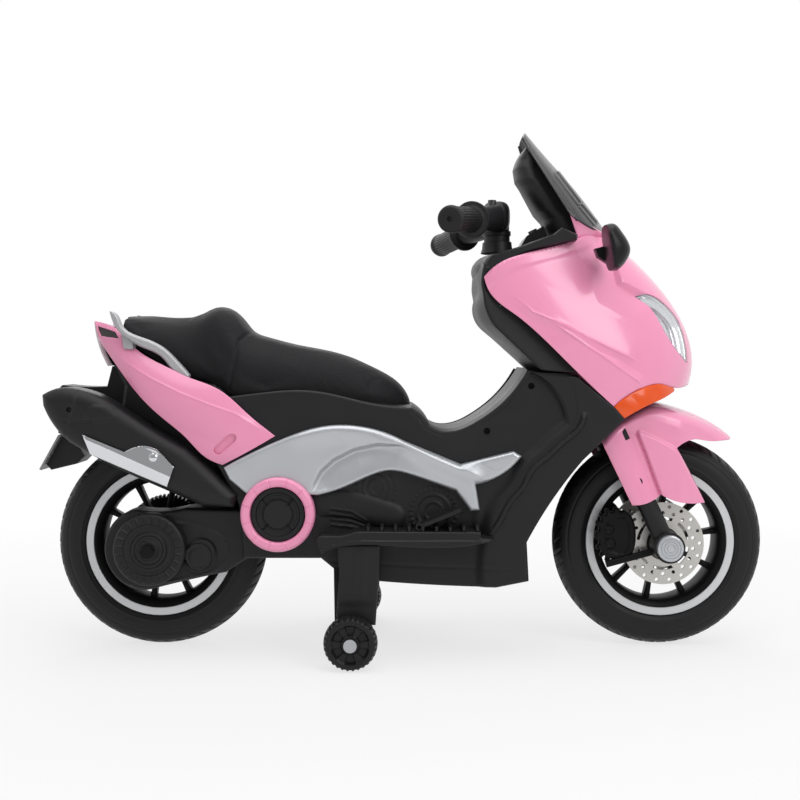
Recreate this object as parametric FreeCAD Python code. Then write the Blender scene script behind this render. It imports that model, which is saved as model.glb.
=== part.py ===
import FreeCAD, Part
import math
import os

# Kids electric motorbike in the manner of a maxi scooter, in millimetres.
# +X points forward, +Y to the rider's left, +Z up; the origin lies on the ground under the middle.
# Outlines are pixel places in a side view of 800 x 800 pixels, seen from the right.
# A point nearer to the eye looks larger, so each outline says in which upright plane it was read.

# Driving dimensions
wheelbase = 735.0
tyre_width = 64.0
handlebar_width = 410.0
eye_distance = 1830.0
steering_rake = 25.0
body_half_width = 104.0
wing_half_width = 118.0
plastic_wall = 3.5
seat_gap = 0.3
running_gap = 0.05
overrun = 3.0
block_depth = 40.0
smooth_corner_share = 0.35

# Side view
eye_pixel = (400.0, 356.0)
rear_axle_pixel = (164.5, 538.0)
front_axle_pixel = (655.5, 538.0)
tyre_top_pixel = (164.5, 434.46)
tail_end_pixel = (48.0, 466.5)
column_top_pixel = (497.0, 245.0)

# Wheels
axle_radius = 6.0
rim_seat_radius = 104.0
rim_lip_radius = 109.0
rim_lip_thickness = 3.7
rim_ring_width = 11.0
rim_inner_radius = 88.0
rim_cone_depth = 7.0
bead_half_width = 27.0
tyre_shoulder_drop = 9.0
tyre_shoulder_half_width = 24.0
spoke_count = 10
spoke_width = 11.0
spoke_half_depth = 11.0
first_spoke_angle = 8.0
hub_radius = 24.0
front_hub_half_width = 57.5
rear_hub_right = 43.5
rear_hub_left = 34.2

# Front brake discs and calipers
disc_radius = 59.5
disc_band = 21.0
disc_thickness = 3.0
disc_place = 50.0
disc_arm_count = 6
disc_arm_width = 10.0
disc_hole_radius = 2.6
disc_hole_count = 18
disc_row_share = (0.28, 0.72)
caliper_inner = 44.0
caliper_outer = 68.0
caliper_round = 3.0
caliper_slot = 1.0
torque_rod_radius = 5.0
torque_rod_place = 65.0
caliper_pixels = [
    [(612, 506), (640, 514)],
    [(646, 535)],
    [(640, 566)],
    [(622, 573), (604, 560)],
    [(598, 535), (598, 514)],
]
torque_rod_pixels = [(612, 563), (662, 549)]

# Fork, stem and head tube; "along" runs down the steering axis from the column top
fork_leg_place = 77.0
fork_leg_radius = 14.0
fork_boss_radius = 22.0
fork_boss_inner = 60.0
fork_boss_outer = 98.0
bridge_gap = 9.0
bridge_height = 20.0
bridge_back = 17.0
bridge_arm_half = 15.5
bridge_hub_half = 26.0
stem_radius = 12.5
stem_collar_height = 12.0
head_tube_top = 70.0
head_tube_lift = 63.8
head_tube_wall = 3.5
bush_length = 16.0
bush_wall = 3.0
bush_flange = 2.0
upper_stay_drop = 14.0
upper_stay_back = 44.0
stay_size = 10.0
lower_stay_lift = 18.0
fork_cap_radius = 18.8
fork_cap_step = 14.5
fork_cap_height = 7.0
cavity_radius = 112.0
cavity_rise = 20.0
cavity_fall = 96.0

# Front mudguard
mudguard_half_width = 96.0
mudguard_round = 14.0
mudguard_crown_half = 60.0
mudguard_tyre_slot = 42.0
mudguard_boss_radius = 6.0
mudguard_boss_drop = 61.0
mudguard_stem_hole = 15.0
mudguard_tip_half_width = 48.0
mudguard_taper_pixels = [(672.0, 409.0), (690.0, 414.0), (710.0, 424.0), (733.0, 440.0)]
mudguard_taper_shares = [1.0, 0.95, 0.65, 0.0]
mudguard_pixels = [
    [(612, 425.5), (630, 412.5), (650, 405.5), (673, 409), (696, 416.8), (717, 428), (730.5, 438.4)],
    [(709.5, 441), (696, 439.3), (677, 448)],
    [(690, 472), (705, 502.5)],
    [(671, 499.6), (661, 494.5)],
    [(638.6, 505.3), (632, 505.3)],
    [(604, 447)],
    [(600, 438)],
]

# Handlebar
bar_radius = 11.0
bar_centre_pixel = (497.0, 222.0)
pod_place = 62.0
pod_pixel = (492.0, 220.0)
flange_place = 108.0
flange_pixel = (471.5, 220.6)
grip_end_pixel = (448.5, 219.3)
grip_radius = 17.4
grip_flange_radius = 26.0
grip_flange_width = 5.0
grip_end_wall = 4.0
pod_radius = 25.0
pod_length = 42.0
yoke_radius = 25.0
neck_radius = 22.0
neck_bottom = 12.0
neck_hole_gap = 2.5
button_radius = 6.0
button_height = 7.0
button_proud = 3.5
button_travel = 2.0
button_gap = 0.25

# Main body halves
parting_gap = 0.1
body_flat_half = 62.0
body_edge_drop = 9.0
rear_well_gap = 12.0
rear_well_half_width = 46.0
body_pixels = [
    [(262, 391.5), (300, 389), (335, 393.5), (370, 402), (412, 406)],
    [(421, 412.5), (430, 425)],
    [(441, 429.8), (455, 429.5), (478, 419.5), (503, 400.5), (528, 368)],
    [(577, 374)],
    [(613, 406)],
    [(624, 418)],
    [(583, 460.5)],
    [(556, 495), (527, 542)],
    [(529, 581)],
    [(495, 588)],
    [(404, 584), (345, 579)],
    [(320, 559)],
    [(243, 559)],
    [(238, 505)],
    [(214, 462)],
    [(226, 396)],
]
wing_root = 66.0
wing_round = 4.0
wing_pixels = [
    [(577, 374.5)],
    [(613, 406)],
    [(624, 418)],
    [(583, 460.5)],
    [(556, 495), (527, 542)],
    [(529, 581)],
    [(497, 587)],
    [(501, 541)],
    [(530, 497), (558, 457), (567, 425), (556, 394), (531, 372)],
]
screw_radius = 4.5
screw_height = 2.5
screw_shank_radius = 2.0
screw_shank_length = 9.0
shield_screw_pixel = (531, 386)
tunnel_screw_pixel = (487, 431)

# Leg shield behind the fairing
shield_round = 3.0
shield_pixels = [
    [(474.5, 273), (474, 290), (473.5, 306), (478, 322), (493, 339), (509, 353.5), (528, 367)],
    [(577, 373)],
    [(562, 358.5), (529, 329), (506, 309), (488.5, 294)],
    [(482, 281), (486, 271.5), (499.5, 263)],
    [(521, 255.5), (546, 248), (571, 242.5)],
    [(572, 238)],
    [(549, 237)],
    [(513, 250)],
    [(479, 257)],
]

# Front fairing, a thin shell that runs round the nose from one side to the other
fairing_wall = 3.0
fairing_bulge = 8.0
fairing_power_share = 0.9
fairing_side_share = 0.9
fairing_rows = 7
fairing_columns = 8
fairing_rear_pixels = [(614, 406.5), (588, 382.5), (551, 346), (516, 315), (490, 292.5), (484, 277)]
fairing_nose_pixels = [(688, 385), (692, 362), (684, 327), (660, 289), (630, 257.5), (613, 243)]
fairing_bottom_pixels = [(614, 406.5), (644, 387), (662, 384), (676, 388), (688, 385)]
fairing_top_pixels = [(484, 277), (499.5, 263), (521, 254.6), (571, 241), (597, 234), (613, 243)]
headlight_read = 45.0
headlight_inner = 12.0
headlight_gap = 0.6
reflector_lap = 4.0
reflector_wall = 2.0
headlight_pixels = [
    [(650, 294.5), (666, 305), (678, 320), (685, 339), (687.5, 364)],
    [(681.5, 356.5), (669, 339), (655, 314.5), (638, 294)],
]
signal_pixels = [(624.5, 418.5), (650, 404.5), (665, 397.5), (674.5, 391)]
signal_reach_share = 0.82
signal_joint_share = 0.96
signal_rows = 5

# Windscreen and dash
screen_wall = 3.0
screen_rows = 6
screen_columns = 9
screen_half_widths = [92.0, 87.0, 76.0, 60.0, 34.0]
screen_centre_pixels = [(609, 237), (593, 214), (573, 188), (548, 160), (525, 133)]
screen_side_pixels = [(571, 216), (558, 196), (543, 172), (531, 153), (523.5, 139)]
dash_half_width = 68.0
dash_round = 5.0
dash_pixels = [
    [(515, 165)],
    [(521, 186), (534, 211)],
    [(544, 221.5), (551, 241)],
    [(573, 244)],
    [(572, 216)],
    [(549, 182), (526, 152)],
]
post_radius = 5.0
post_place = 45.0
post_length = 110.0
post_pixels = [(533.5, 208), (519.8, 178)]
panel_half_width = 40.0
panel_pixels = [
    [(524, 238.5)],
    [(543, 227)],
    [(551, 236)],
    [(518, 248.8)],
]
power_button_pixel = (533, 232.5)
power_button_radius = 7.0

# Mirrors
mirror_read = 142.0
mirror_inner = 108.0
mirror_outer = 178.0
mirror_round = 6.0
mirror_glass_wall = 2.0
mirror_pixels = [
    [(612, 223.5), (623, 234), (628.5, 247), (628, 258)],
    [(613.5, 270.5)],
    [(608.5, 264.5)],
    [(604.5, 227)],
]
mirror_glass_pixels = [(604.8, 229.5), (608.2, 262)]
mirror_stalk_pixels = [
    [(608, 244)],
    [(610, 261)],
    [(597, 257)],
    [(593, 249)],
]

# Rear panels, tail and seat
rear_panel_wall = 3.0
rear_panel_rows = 5
rear_panel_columns = 9
rear_panel_edge_dip = 6.0
rear_panel_half_widths = [116.0, 116.0, 110.0, 92.0, 64.0]
rear_upper_pixels = [(275, 436), (250, 416), (216, 388), (189, 377.5), (168, 367.5), (133, 346), (118, 330),
                     (94.5, 321)]
rear_lower_pixels = [(222.5, 465), (205, 457), (186, 438), (166, 421), (143, 400), (114, 362), (99, 340)]
rear_front_pixels = [(222.5, 465), (250, 450.5), (275, 436)]
rear_end_pixels = [(99, 340), (94.5, 321)]
panel_boss_radius = 5.0
panel_front_boss_pixel = (235, 430)
panel_rear_boss_pixel = (150, 380)
undertail_half_width = 50.0
undertail_round = 5.0
undertail_pixels = [
    [(200, 384), (165, 365), (125, 342)],
    [(103.5, 334.5)],
    [(106.5, 350), (114.5, 367.5), (124, 386)],
    [(121, 409)],
    [(160, 436), (198, 467)],
    [(222, 468)],
    [(236, 399)],
]
tail_lamp_half_width = 54.0
tail_lamp_round = 3.0
tail_lamp_pixels = [
    [(98, 342), (108, 366)],
    [(113, 365.5)],
    [(105, 350), (102.3, 334.5)],
    [(101, 324)],
    [(94.5, 322)],
]
rail_inner = 88.0
rail_outer = 101.0
rail_round = 2.5
rail_foot_radius = 4.0
rail_front_foot_pixel = (184, 381)
rail_rear_foot_pixel = (121.5, 348)
rail_pixels = [
    [(115, 312.5), (121.5, 325), (142, 337.5), (164, 348), (179, 362.5), (190, 375)],
    [(188, 384)],
    [(180, 384)],
    [(172, 371), (160, 356), (140, 346)],
    [(127, 352)],
    [(118, 352)],
    [(114, 327), (109.5, 311)],
]
seat_stations = 31
seat_pixels_u = (410, 396, 370, 335, 300, 268, 251, 240, 226, 212, 192, 160, 132)
seat_top_v = (399, 379, 366, 353.5, 346.5, 338.5, 331.5, 317.5, 307.5, 312, 319, 318, 314.5)
seat_bottom_v = (410, 410, 408, 402, 396, 397, 399, 398, 388, 382, 376, 357, 336)
seat_half_widths = (30.0, 56.0, 73.0, 83.0, 89.0, 92.0, 93.0, 91.0, 85.0, 82.0, 81.0, 79.0, 68.0)
seat_base_share = 0.93
seat_belly_share = 0.45
seat_shoulder_width_share = 0.84
seat_shoulder_share = 0.8
seat_seam_pixel = (234.0, 360.0)
seat_seam_lean = 13.0
seat_seam_width = 3.0
seat_seam_depth = 2.5

# Muffler and its heat shield
muffler_inner = 70.0
muffler_outer = 126.0
muffler_round = 8.0
muffler_flat = 14.0
muffler_hanger_radius = 7.0
muffler_hanger_wall = 6.0
muffler_hanger_pixel = (180, 457)
muffler_hanger_pixels = [
    [(192, 438)],
    [(189, 464)],
    [(172, 460)],
    [(158, 405)],
    [(172, 402)],
]
muffler_pixels = [
    [(68, 387), (84, 389.5), (118, 405)],
    [(150, 426), (188, 448)],
    [(214, 471), (239, 494)],
    [(235, 506.5)],
    [(203, 504.5)],
    [(166, 488.5), (120, 468), (72, 441.5)],
    [(56, 424), (46, 405)],
    [(45, 394.5)],
]
heat_shield_wall = 4.0
heat_shield_round = 1.5
heat_shield_pixels = [
    [(124.5, 452)],
    [(141, 446), (157, 449.5)],
    [(174, 467)],
    [(167, 487)],
    [(120, 467), (90, 454)],
    [(82, 434.5)],
]

# Plate holder behind the tail
holder_half_width = 30.0
holder_pixels = [
    [(84, 386), (68, 384.5)],
    [(59.5, 393)],
    [(62, 415), (64.5, 436)],
    [(51, 461)],
    [(57, 468)],
    [(82, 462)],
    [(90, 454)],
    [(80, 430), (79, 404)],
    [(128, 404)],
    [(140, 396)],
    [(117, 366)],
    [(112, 386)],
]
plate_half_width = 45.0
plate_wall = 3.0
plate_top_pixel = (66.5, 433)

# Rear drive: swing arms, covers, motor and gears
arm_inner = 47.0
arm_outer = 93.0
arm_round = 5.0
arm_wall = 3.0
arm_pixels = [
    [(166, 511.5), (186, 508)],
    [(248, 509)],
    [(252, 556)],
    [(226, 572.5)],
    [(186, 581), (150, 590)],
    [(120, 582), (104, 553), (112, 524), (137, 510)],
]
cover_radius = 51.0
cover_height = 24.0
cover_step_radius = 34.0
cover_step_height = 8.0
motor_cover_radius = 19.0
motor_cover_height = 9.0
nut_radius = 10.0
nut_height = 9.0
nut_sides = 6
gear_module = 2.0
wheel_gear_teeth = 60
pinion_teeth = 12
gear_place = 34.5
gear_width = 9.0
gear_backlash = 0.25
gear_web = 4.0
gear_rim = 9.0
pressure_angle = 20.0
tooth_root_share = 1.25
motor_drop = 6.0
motor_radius = 14.0
motor_length = 34.0
motor_place = 51.5
motor_shaft_radius = 2.5
motor_shaft_hole = 5.0
motor_shaft_depth = 10.0

# Side trim, rings and caps
trim_read = 118.0
trim_outer = 121.0
trim_round = 6.0
trim_flat = 7.0
trim_pixels = [
    [(240, 458.5), (275, 442), (302, 431.5), (333, 425.3), (363, 427), (390, 434.5), (404, 441)],
    [(461, 464.5)],
    [(514, 451.5)],
    [(522, 456.5)],
    [(509, 470), (476, 485)],
    [(480, 510.5)],
    [(471, 511.5)],
    [(456, 491)],
    [(424, 479.5), (404, 473), (389, 471), (373, 475), (342, 488.5), (318, 495.5)],
    [(246, 494)],
    [(229, 480)],
    [(223, 468)],
]
ring_pixel = (277.6, 514.7)
ring_read = 125.0
ring_outer_radius = 52.0
ring_inner_radius = 38.6
ring_outer = 131.0
ring_round = 4.0
cap_gap = 0.4
cap_outer = 124.0
cap_dish_radius = 29.0
cap_dish_depth = 4.0

# Footboards, accelerator pedal
board_outer = 156.0
board_round = 3.0
board_pixels = [
    [(495, 532)],
    [(493, 548)],
    [(330, 548)],
    [(318, 532)],
]
board_wall = 3.0
ridge_count = 12
ridge_width = 5.0
ridge_height = 4.0
ridge_margin = 6.0
ridge_first_pixel = (366.0, 532.0)
ridge_last_pixel = (486.0, 532.0)
pedal_heel_pixel = (419.0, 525.5)
pedal_read = 130.0
pedal_length = 62.0
pedal_width = 34.0
pedal_wall = 5.0
pedal_lift = 22.0
pedal_barrel_radius = 5.0
pedal_pin_radius = 2.5
pedal_pin_gap = 0.1
pedal_lug_width = 4.0
pedal_side_gap = 0.5

# Stabiliser wheels
side_wheel_radius = 37.0
side_wheel_inner = 150.0
side_wheel_width = 33.0
side_wheel_groove = 8.0
side_wheel_groove_depth = 3.0
side_wheel_x_pixel = (351.0, 645.0)
side_bolt_radius = 4.0
side_bolt_head_radius = 9.0
side_bolt_head_height = 4.0
side_arm_top_length = 54.0
side_arm_top_inner = 58.0
side_arm_top_outer = 98.0
side_arm_foot_length = 44.0
side_arm_foot_inner = 126.0
side_arm_foot_outer = 148.0
side_arm_foot_drop = 14.0

# Inside the body
battery_length = 92.0
battery_width = 68.0
battery_height = 96.0
battery_pixel = (405.0, 545.0)
tray_height = 16.0
tray_margin = 8.0
tray_depth = 80.0
board_length = 60.0
board_width = 40.0
board_height = 9.0
socket_radius = 6.0
socket_flange_radius = 9.5
socket_flange_height = 3.0
socket_depth = 22.0
socket_wall = 1.5
socket_pixel = (330.0, 411.0)

mm_per_pixel = wheelbase / (front_axle_pixel[0] - rear_axle_pixel[0])
tyre_radius = (rear_axle_pixel[1] - tyre_top_pixel[1]) * mm_per_pixel
eye_height = tyre_radius + (rear_axle_pixel[1] - eye_pixel[1]) * mm_per_pixel
front_reach = (front_axle_pixel[0] - eye_pixel[0]) * mm_per_pixel + tyre_radius
rear_reach = (tail_end_pixel[0] - eye_pixel[0]) * mm_per_pixel
origin_x = (front_reach + rear_reach) / 2


def vec(x, y, z):
    return FreeCAD.Vector(x, y, z)


def spot(pixel, read_at):
    """X and Z of a pixel that was read in the plane read_at millimetres right of the middle."""
    scale = mm_per_pixel * (1 - read_at / eye_distance)
    x = (pixel[0] - eye_pixel[0]) * scale - origin_x
    z = eye_height - (pixel[1] - eye_pixel[1]) * scale
    return x, z


def at(pixel, right):
    """Point of the right side, seen at a pixel and standing right of the middle plane."""
    x, z = spot(pixel, right)
    return vec(x, -right, z)


front_axle_x = spot(front_axle_pixel, 0)[0]
rear_axle_x = spot(rear_axle_pixel, 0)[0]
axle_z = tyre_radius

column_x, column_z = spot(column_top_pixel, 0)
rake = math.radians(steering_rake)
steer_down = vec(math.sin(rake), 0, -math.cos(rake))
steer_front = vec(math.cos(rake), 0, math.sin(rake))


def steer(along, front, y):
    """Point given down the steering axis, ahead of it, and to the left."""
    base = vec(column_x, y, column_z)
    return base + steer_down * along + steer_front * front


axle_from_column = vec(front_axle_x - column_x, 0, axle_z - column_z)
axle_along = axle_from_column.dot(steer_down)
axle_front = axle_from_column.dot(steer_front)
bridge_bottom = axle_along - tyre_radius - bridge_gap
bridge_top = bridge_bottom - bridge_height
bridge_arm_back = axle_front - bridge_arm_half
bridge_front = axle_front + bridge_arm_half
head_tube_bottom = bridge_top - head_tube_lift
upper_stay_along = head_tube_top + upper_stay_drop
lower_stay_along = head_tube_bottom - lower_stay_lift
cavity_top = bridge_top - cavity_rise
cavity_bottom = bridge_bottom + cavity_fall
mudguard_boss_along = bridge_bottom + mudguard_boss_drop


# Shape helpers
def mirrored(shape):
    return shape.mirror(vec(0, 0, 0), vec(0, 1, 0))


def pair(shape):
    return Part.makeCompound([shape, mirrored(shape)])


def fused(shapes):
    return shapes[0].multiFuse(shapes[1:]).removeSplitter()


def rod(start, end, radius):
    return Part.makeCylinder(radius, (end - start).Length, start, end - start)


def cross_rod(x, z, y_start, y_end, radius):
    return rod(vec(x, y_start, z), vec(x, y_end, z), radius)


def steer_block(top, bottom, back, front, half_width):
    """Block square to the steering axis, as wide to the left as to the right."""
    corners = [(top, back), (top, front), (bottom, front), (bottom, back), (top, back)]
    points = [steer(along, ahead, -half_width) for along, ahead in corners]
    return Part.Face(Part.makePolygon(points)).extrude(vec(0, half_width * 2, 0))


def offset_point(before, point, after, grow_in, grow_out, turn):
    """Move a corner outwards so that its two edges shift by grow_in and grow_out."""
    normals = []
    for start, end in ((before, point), (point, after)):
        dx = end[0] - start[0]
        dz = end[1] - start[1]
        length = math.hypot(dx, dz)
        normals.append((dz / length * turn, -dx / length * turn))
    (ax, az), (bx, bz) = normals
    cross = ax * bz - az * bx
    if abs(cross) < smooth_corner_share:
        mean = (grow_in + grow_out) / 2
        sum_x = ax + bx
        sum_z = az + bz
        size = math.hypot(sum_x, sum_z)
        return point[0] + sum_x / size * mean, point[1] + sum_z / size * mean
    shift_x = (grow_in * bz - grow_out * az) / cross
    shift_z = (grow_out * ax - grow_in * bx) / cross
    return point[0] + shift_x, point[1] + shift_z


def outline_wire(runs, read_at, y, grow):
    """Closed wire at y, moved outwards by grow; a run of one point is straight, a longer one smooth."""
    grows = grow if isinstance(grow, list) else [grow] * len(runs)
    flat = [(spot(pixel, read_at), index) for index, run in enumerate(runs) for pixel in run]
    points = [item[0] for item in flat]
    count = len(points)
    area = sum(points[i - 1][0] * points[i][1] - points[i][0] * points[i - 1][1] for i in range(count))
    turn = 1 if area > 0 else -1
    moved = []
    for i in range(count):
        after = (i + 1) % count
        moved.append(offset_point(points[i - 1], points[i], points[after],
                                  grows[flat[i][1]], grows[flat[after][1]], turn))
    edges = []
    position = 0
    for run in runs:
        places = [moved[position - 1]] + moved[position:position + len(run)]
        stops = [vec(x, y, z) for x, z in places]
        position += len(run)
        if len(stops) == 2:
            edges.append(Part.makeLine(stops[0], stops[1]))
        else:
            curve = Part.BSplineCurve()
            curve.interpolate(stops)
            edges.append(curve.toShape())
    return Part.Wire(edges)


def pillow(runs, read_at, levels):
    """Solid through one outline at several places across the bike, each grown by its own amount."""
    wires = [outline_wire(runs, read_at, y, grow) for y, grow in levels]
    return Part.makeLoft(wires, True, True)


def across(half_width, edge_round, grow=0.0):
    """Levels of a piece that spans the middle plane, with eased edges at both sides."""
    flat = half_width - edge_round
    eased = grow - edge_round if not isinstance(grow, list) else [g - edge_round for g in grow]
    return [(-half_width, eased), (-flat, grow), (flat, grow), (half_width, eased)]


def curve_through(points):
    """Function that gives a place on a smooth line through flat points, for a share of its length."""
    line = Part.BSplineCurve()
    line.interpolate([vec(p[0], p[1], 0) for p in points])
    first = line.FirstParameter
    last = line.LastParameter

    def place(share):
        value = line.value(first + (last - first) * share)
        return value.x, value.y
    return place


def profile_through(values):
    """Function that runs smoothly through values spread evenly from 0 to 1."""
    shares = [index / (len(values) - 1) for index in range(len(values))]
    line = Part.BSplineCurve()
    points = [vec(share, value, 0) for share, value in zip(shares, values)]
    line.interpolate(Points=points, Parameters=shares)

    def value_at(share):
        return line.value(share).y
    return value_at


def four_sided(bottom, top, start, end):
    """Flat place inside four border lines; s goes from bottom to top and t from start to end."""
    corners = (bottom(0), bottom(1), top(0), top(1))

    def place(s, t):
        result = []
        for k in (0, 1):
            sides = (1 - t) * start(s)[k] + t * end(s)[k] + (1 - s) * bottom(t)[k] + s * top(t)[k]
            low = (1 - s) * ((1 - t) * corners[0][k] + t * corners[1][k])
            high = s * ((1 - t) * corners[2][k] + t * corners[3][k])
            result.append(sides - low - high)
        return tuple(result)
    return place


def inset_grid(grid, depth):
    """Points of a grid moved by depth square to its surface."""
    rows = len(grid)
    columns = len(grid[0])
    moved = []
    for i in range(rows):
        line = []
        for j in range(columns):
            up = grid[min(i + 1, rows - 1)][j] - grid[max(i - 1, 0)][j]
            side = grid[i][min(j + 1, columns - 1)] - grid[i][max(j - 1, 0)]
            line.append(grid[i][j] + up.cross(side).normalize() * depth)
        moved.append(line)
    return moved


def skin(outer_grid, inner_grid):
    """Solid between two grids of points, closed by ruled strips along their borders."""
    surfaces = []
    for grid in (outer_grid, inner_grid):
        surface = Part.BSplineSurface()
        surface.interpolate(grid)
        surfaces.append(surface)
    borders = []
    for surface in surfaces:
        u_first, u_last, v_first, v_last = surface.bounds()
        borders.append([surface.uIso(u_first), surface.uIso(u_last),
                        surface.vIso(v_first), surface.vIso(v_last)])
    faces = [surface.toShape() for surface in surfaces]
    for outer_edge, inner_edge in zip(borders[0], borders[1]):
        faces.append(Part.makeRuledSurface(outer_edge.toShape(), inner_edge.toShape()))
    shell = Part.makeShell(faces)
    shell.sewShape()
    solid = Part.makeSolid(shell)
    if solid.Volume < 0:
        solid.reverse()
    return solid


def body_solid(wall):
    """Right half of the main body and its front wing as a full solid, drawn in by wall."""
    start = parting_gap if wall == 0 else -overrun
    main = pillow(body_pixels, body_half_width, [
        (-start, -wall), (-body_flat_half, -wall), (wall - body_half_width, -wall - body_edge_drop)])
    wing = pillow(wing_pixels, wing_half_width, [
        (-wing_root, -wall), (wall + wing_round - wing_half_width, -wall),
        (wall - wing_half_width, -wall - wing_round)])
    return main.fuse(wing)


def rear_well(wall):
    """Room in which the rear tyre turns, with a wall round it."""
    half = rear_well_half_width + wall
    return cross_rod(rear_axle_x, axle_z, -half, half, tyre_radius + rear_well_gap + wall)


def head_tube_radius():
    return stem_radius + bush_wall + running_gap * 2 + head_tube_wall


def make_body_half(outer):
    """Moulded half shell, open at the middle, round the rear wheel and at the fork."""
    well = rear_well(0.0)
    well_skin = rear_well(plastic_wall)
    hollow = body_solid(plastic_wall).cut(well_skin)
    cavity = rod(steer(cavity_top, 0, 0), steer(cavity_bottom, 0, 0), cavity_radius)
    column_radius = head_tube_radius() + neck_hole_gap
    column = rod(steer(head_tube_top, 0, 0), steer(cavity_top, 0, 0), column_radius)
    shell = outer.cut(hollow).cut(well).cut(cavity).cut(column)
    face = body_half_width
    for pixel in (shield_screw_pixel, tunnel_screw_pixel):
        x, z = spot(pixel, face)
        hole_radius = screw_shank_radius + seat_gap
        shell = shell.cut(cross_rod(x, z, -face - overrun, overrun + plastic_wall - face, hole_radius))
    solids = sorted(shell.Solids, key=lambda solid: solid.Volume)
    return solids[-1]


def make_screws():
    screws = []
    face = body_half_width
    for pixel in (shield_screw_pixel, tunnel_screw_pixel):
        x, z = spot(pixel, face)
        head = cross_rod(x, z, -face - screw_height - seat_gap, -face - seat_gap, screw_radius)
        shank = cross_rod(x, z, -face - seat_gap, -face + screw_shank_length, screw_shank_radius)
        screws.append(head.fuse(shank))
    return screws


def make_leg_shield(fairing_block):
    """Rider's side of the front, open towards the fairing and the body below."""
    read = wing_half_width
    outer = pillow(shield_pixels, read, across(wing_half_width, shield_round))
    wall = -plastic_wall
    grows = [wall, overrun, overrun, overrun, overrun, overrun, wall, wall, wall]
    hollow = pillow(shield_pixels, read, [
        (plastic_wall - wing_half_width, grows), (wing_half_width - plastic_wall, grows)])
    hole = rod(steer(-neck_radius, 0, 0), steer(head_tube_top, 0, 0), neck_radius + neck_hole_gap)
    return outer.cut(hollow).cut(hole).cut(fairing_block)


# Front fairing
fairing_place = four_sided(curve_through(fairing_bottom_pixels), curve_through(fairing_top_pixels),
                           curve_through(fairing_rear_pixels), curve_through(fairing_nose_pixels))


def fairing_point(s, turn):
    """Point of the fairing: s from its lower to its upper edge, turn from -1 right over the nose to 1."""
    angle = (1 - abs(turn)) * math.pi / 2
    ahead = math.sin(angle) ** fairing_power_share
    width = wing_half_width + fairing_bulge * math.sin(math.pi * s)
    right = width * math.cos(angle) ** fairing_side_share
    point = at(fairing_place(s, ahead), right)
    return point if turn < 0 else vec(point.x, -point.y, point.z)


def fairing_grid():
    rows = [row / (fairing_rows - 1) for row in range(fairing_rows)]
    turns = [column / fairing_columns for column in range(-fairing_columns, fairing_columns + 1)]
    return [[fairing_point(s, turn) for turn in turns] for s in rows]


def headlight_prism(grow):
    """Right headlight outline, carried from near the middle to beyond the side."""
    levels = [(-wing_half_width - overrun, grow), (-headlight_inner, grow)]
    return pillow(headlight_pixels, headlight_read, levels)


def make_fairing(grid):
    prism = headlight_prism(0.0)
    return skin(grid, inset_grid(grid, fairing_wall)).cut(prism).cut(mirrored(prism))


def make_headlight_lenses(grid):
    prism = headlight_prism(-headlight_gap)
    lens = skin(grid, inset_grid(grid, fairing_wall)).common(prism)
    return pair(lens)


def make_reflectors(grid):
    front = inset_grid(grid, fairing_wall + seat_gap)
    back = inset_grid(grid, fairing_wall + seat_gap + reflector_wall)
    return pair(skin(front, back).common(headlight_prism(reflector_lap)))


def make_signals():
    """Amber lamps that close the lower edge of the fairing on both sides."""
    lower = curve_through(signal_pixels)
    grid = []
    for row in range(signal_rows):
        s = row / (signal_rows - 1) * signal_joint_share
        line = []
        for column in range(fairing_columns + 1):
            share = column / fairing_columns
            ahead = share * signal_reach_share
            top = fairing_place(0, ahead)
            low = lower(share)
            pixel = (low[0] + (top[0] - low[0]) * s, low[1] + (top[1] - low[1]) * s)
            angle = math.asin(ahead ** (1 / fairing_power_share))
            line.append(at(pixel, wing_half_width * math.cos(angle) ** fairing_side_share))
        grid.append(line)
    return pair(skin(grid, inset_grid(grid, fairing_wall)))


# Windscreen and dash
def screen_grid():
    """Curved sheet: each row is a half ellipse from one side edge over the middle to the other."""
    centre = curve_through(screen_centre_pixels)
    side = curve_through(screen_side_pixels)
    width = profile_through(screen_half_widths)
    grid = []
    for row in range(screen_rows):
        s = row / (screen_rows - 1)
        line = []
        for column in range(-screen_columns, screen_columns + 1):
            angle = column / screen_columns * math.pi / 2
            back = 1 - math.cos(angle)
            pixel = [c + (e - c) * back for c, e in zip(centre(s), side(s))]
            x, z = spot(pixel, width(s) * abs(math.sin(angle)))
            line.append(vec(x, width(s) * math.sin(angle), z))
        grid.append(line)
    return grid


def make_dash(screen_block, others):
    """Hollow housing behind the windscreen, held to it by four posts."""
    outer = pillow(dash_pixels, dash_half_width, across(dash_half_width, dash_round))
    wall = -plastic_wall
    grows = [wall, wall, wall, wall, overrun, overrun]
    hollow = pillow(dash_pixels, dash_half_width, [
        (plastic_wall - dash_half_width, grows), (dash_half_width - plastic_wall, grows)])
    dash = outer.cut(hollow)
    for pixel in post_pixels:
        x, z = spot(pixel, dash_half_width)
        start = vec(x, post_place, z)
        post = rod(start, start + steer_front * post_length, post_radius).cut(screen_block)
        post = sorted(post.Solids, key=lambda solid: solid.CenterOfMass.x)[0]
        dash = dash.fuse(post).fuse(mirrored(post))
    for other in others:
        dash = dash.cut(other)
    return sorted(dash.Solids, key=lambda solid: solid.Volume)[-1]


def power_button_place():
    x, z = spot(power_button_pixel, 0)
    return vec(x, 0, z)


def make_instrument_panel(others):
    panel = pillow(panel_pixels, 0, [(-panel_half_width, 0), (panel_half_width, 0)])
    for other in others:
        panel = panel.cut(other)
    centre = power_button_place()
    well_radius = power_button_radius + button_gap
    well = rod(centre - steer_up(button_height), centre + steer_up(overrun), well_radius)
    return sorted(panel.cut(well).Solids, key=lambda solid: solid.Volume)[-1]


def steer_up(length):
    return steer_down * -length


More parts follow.
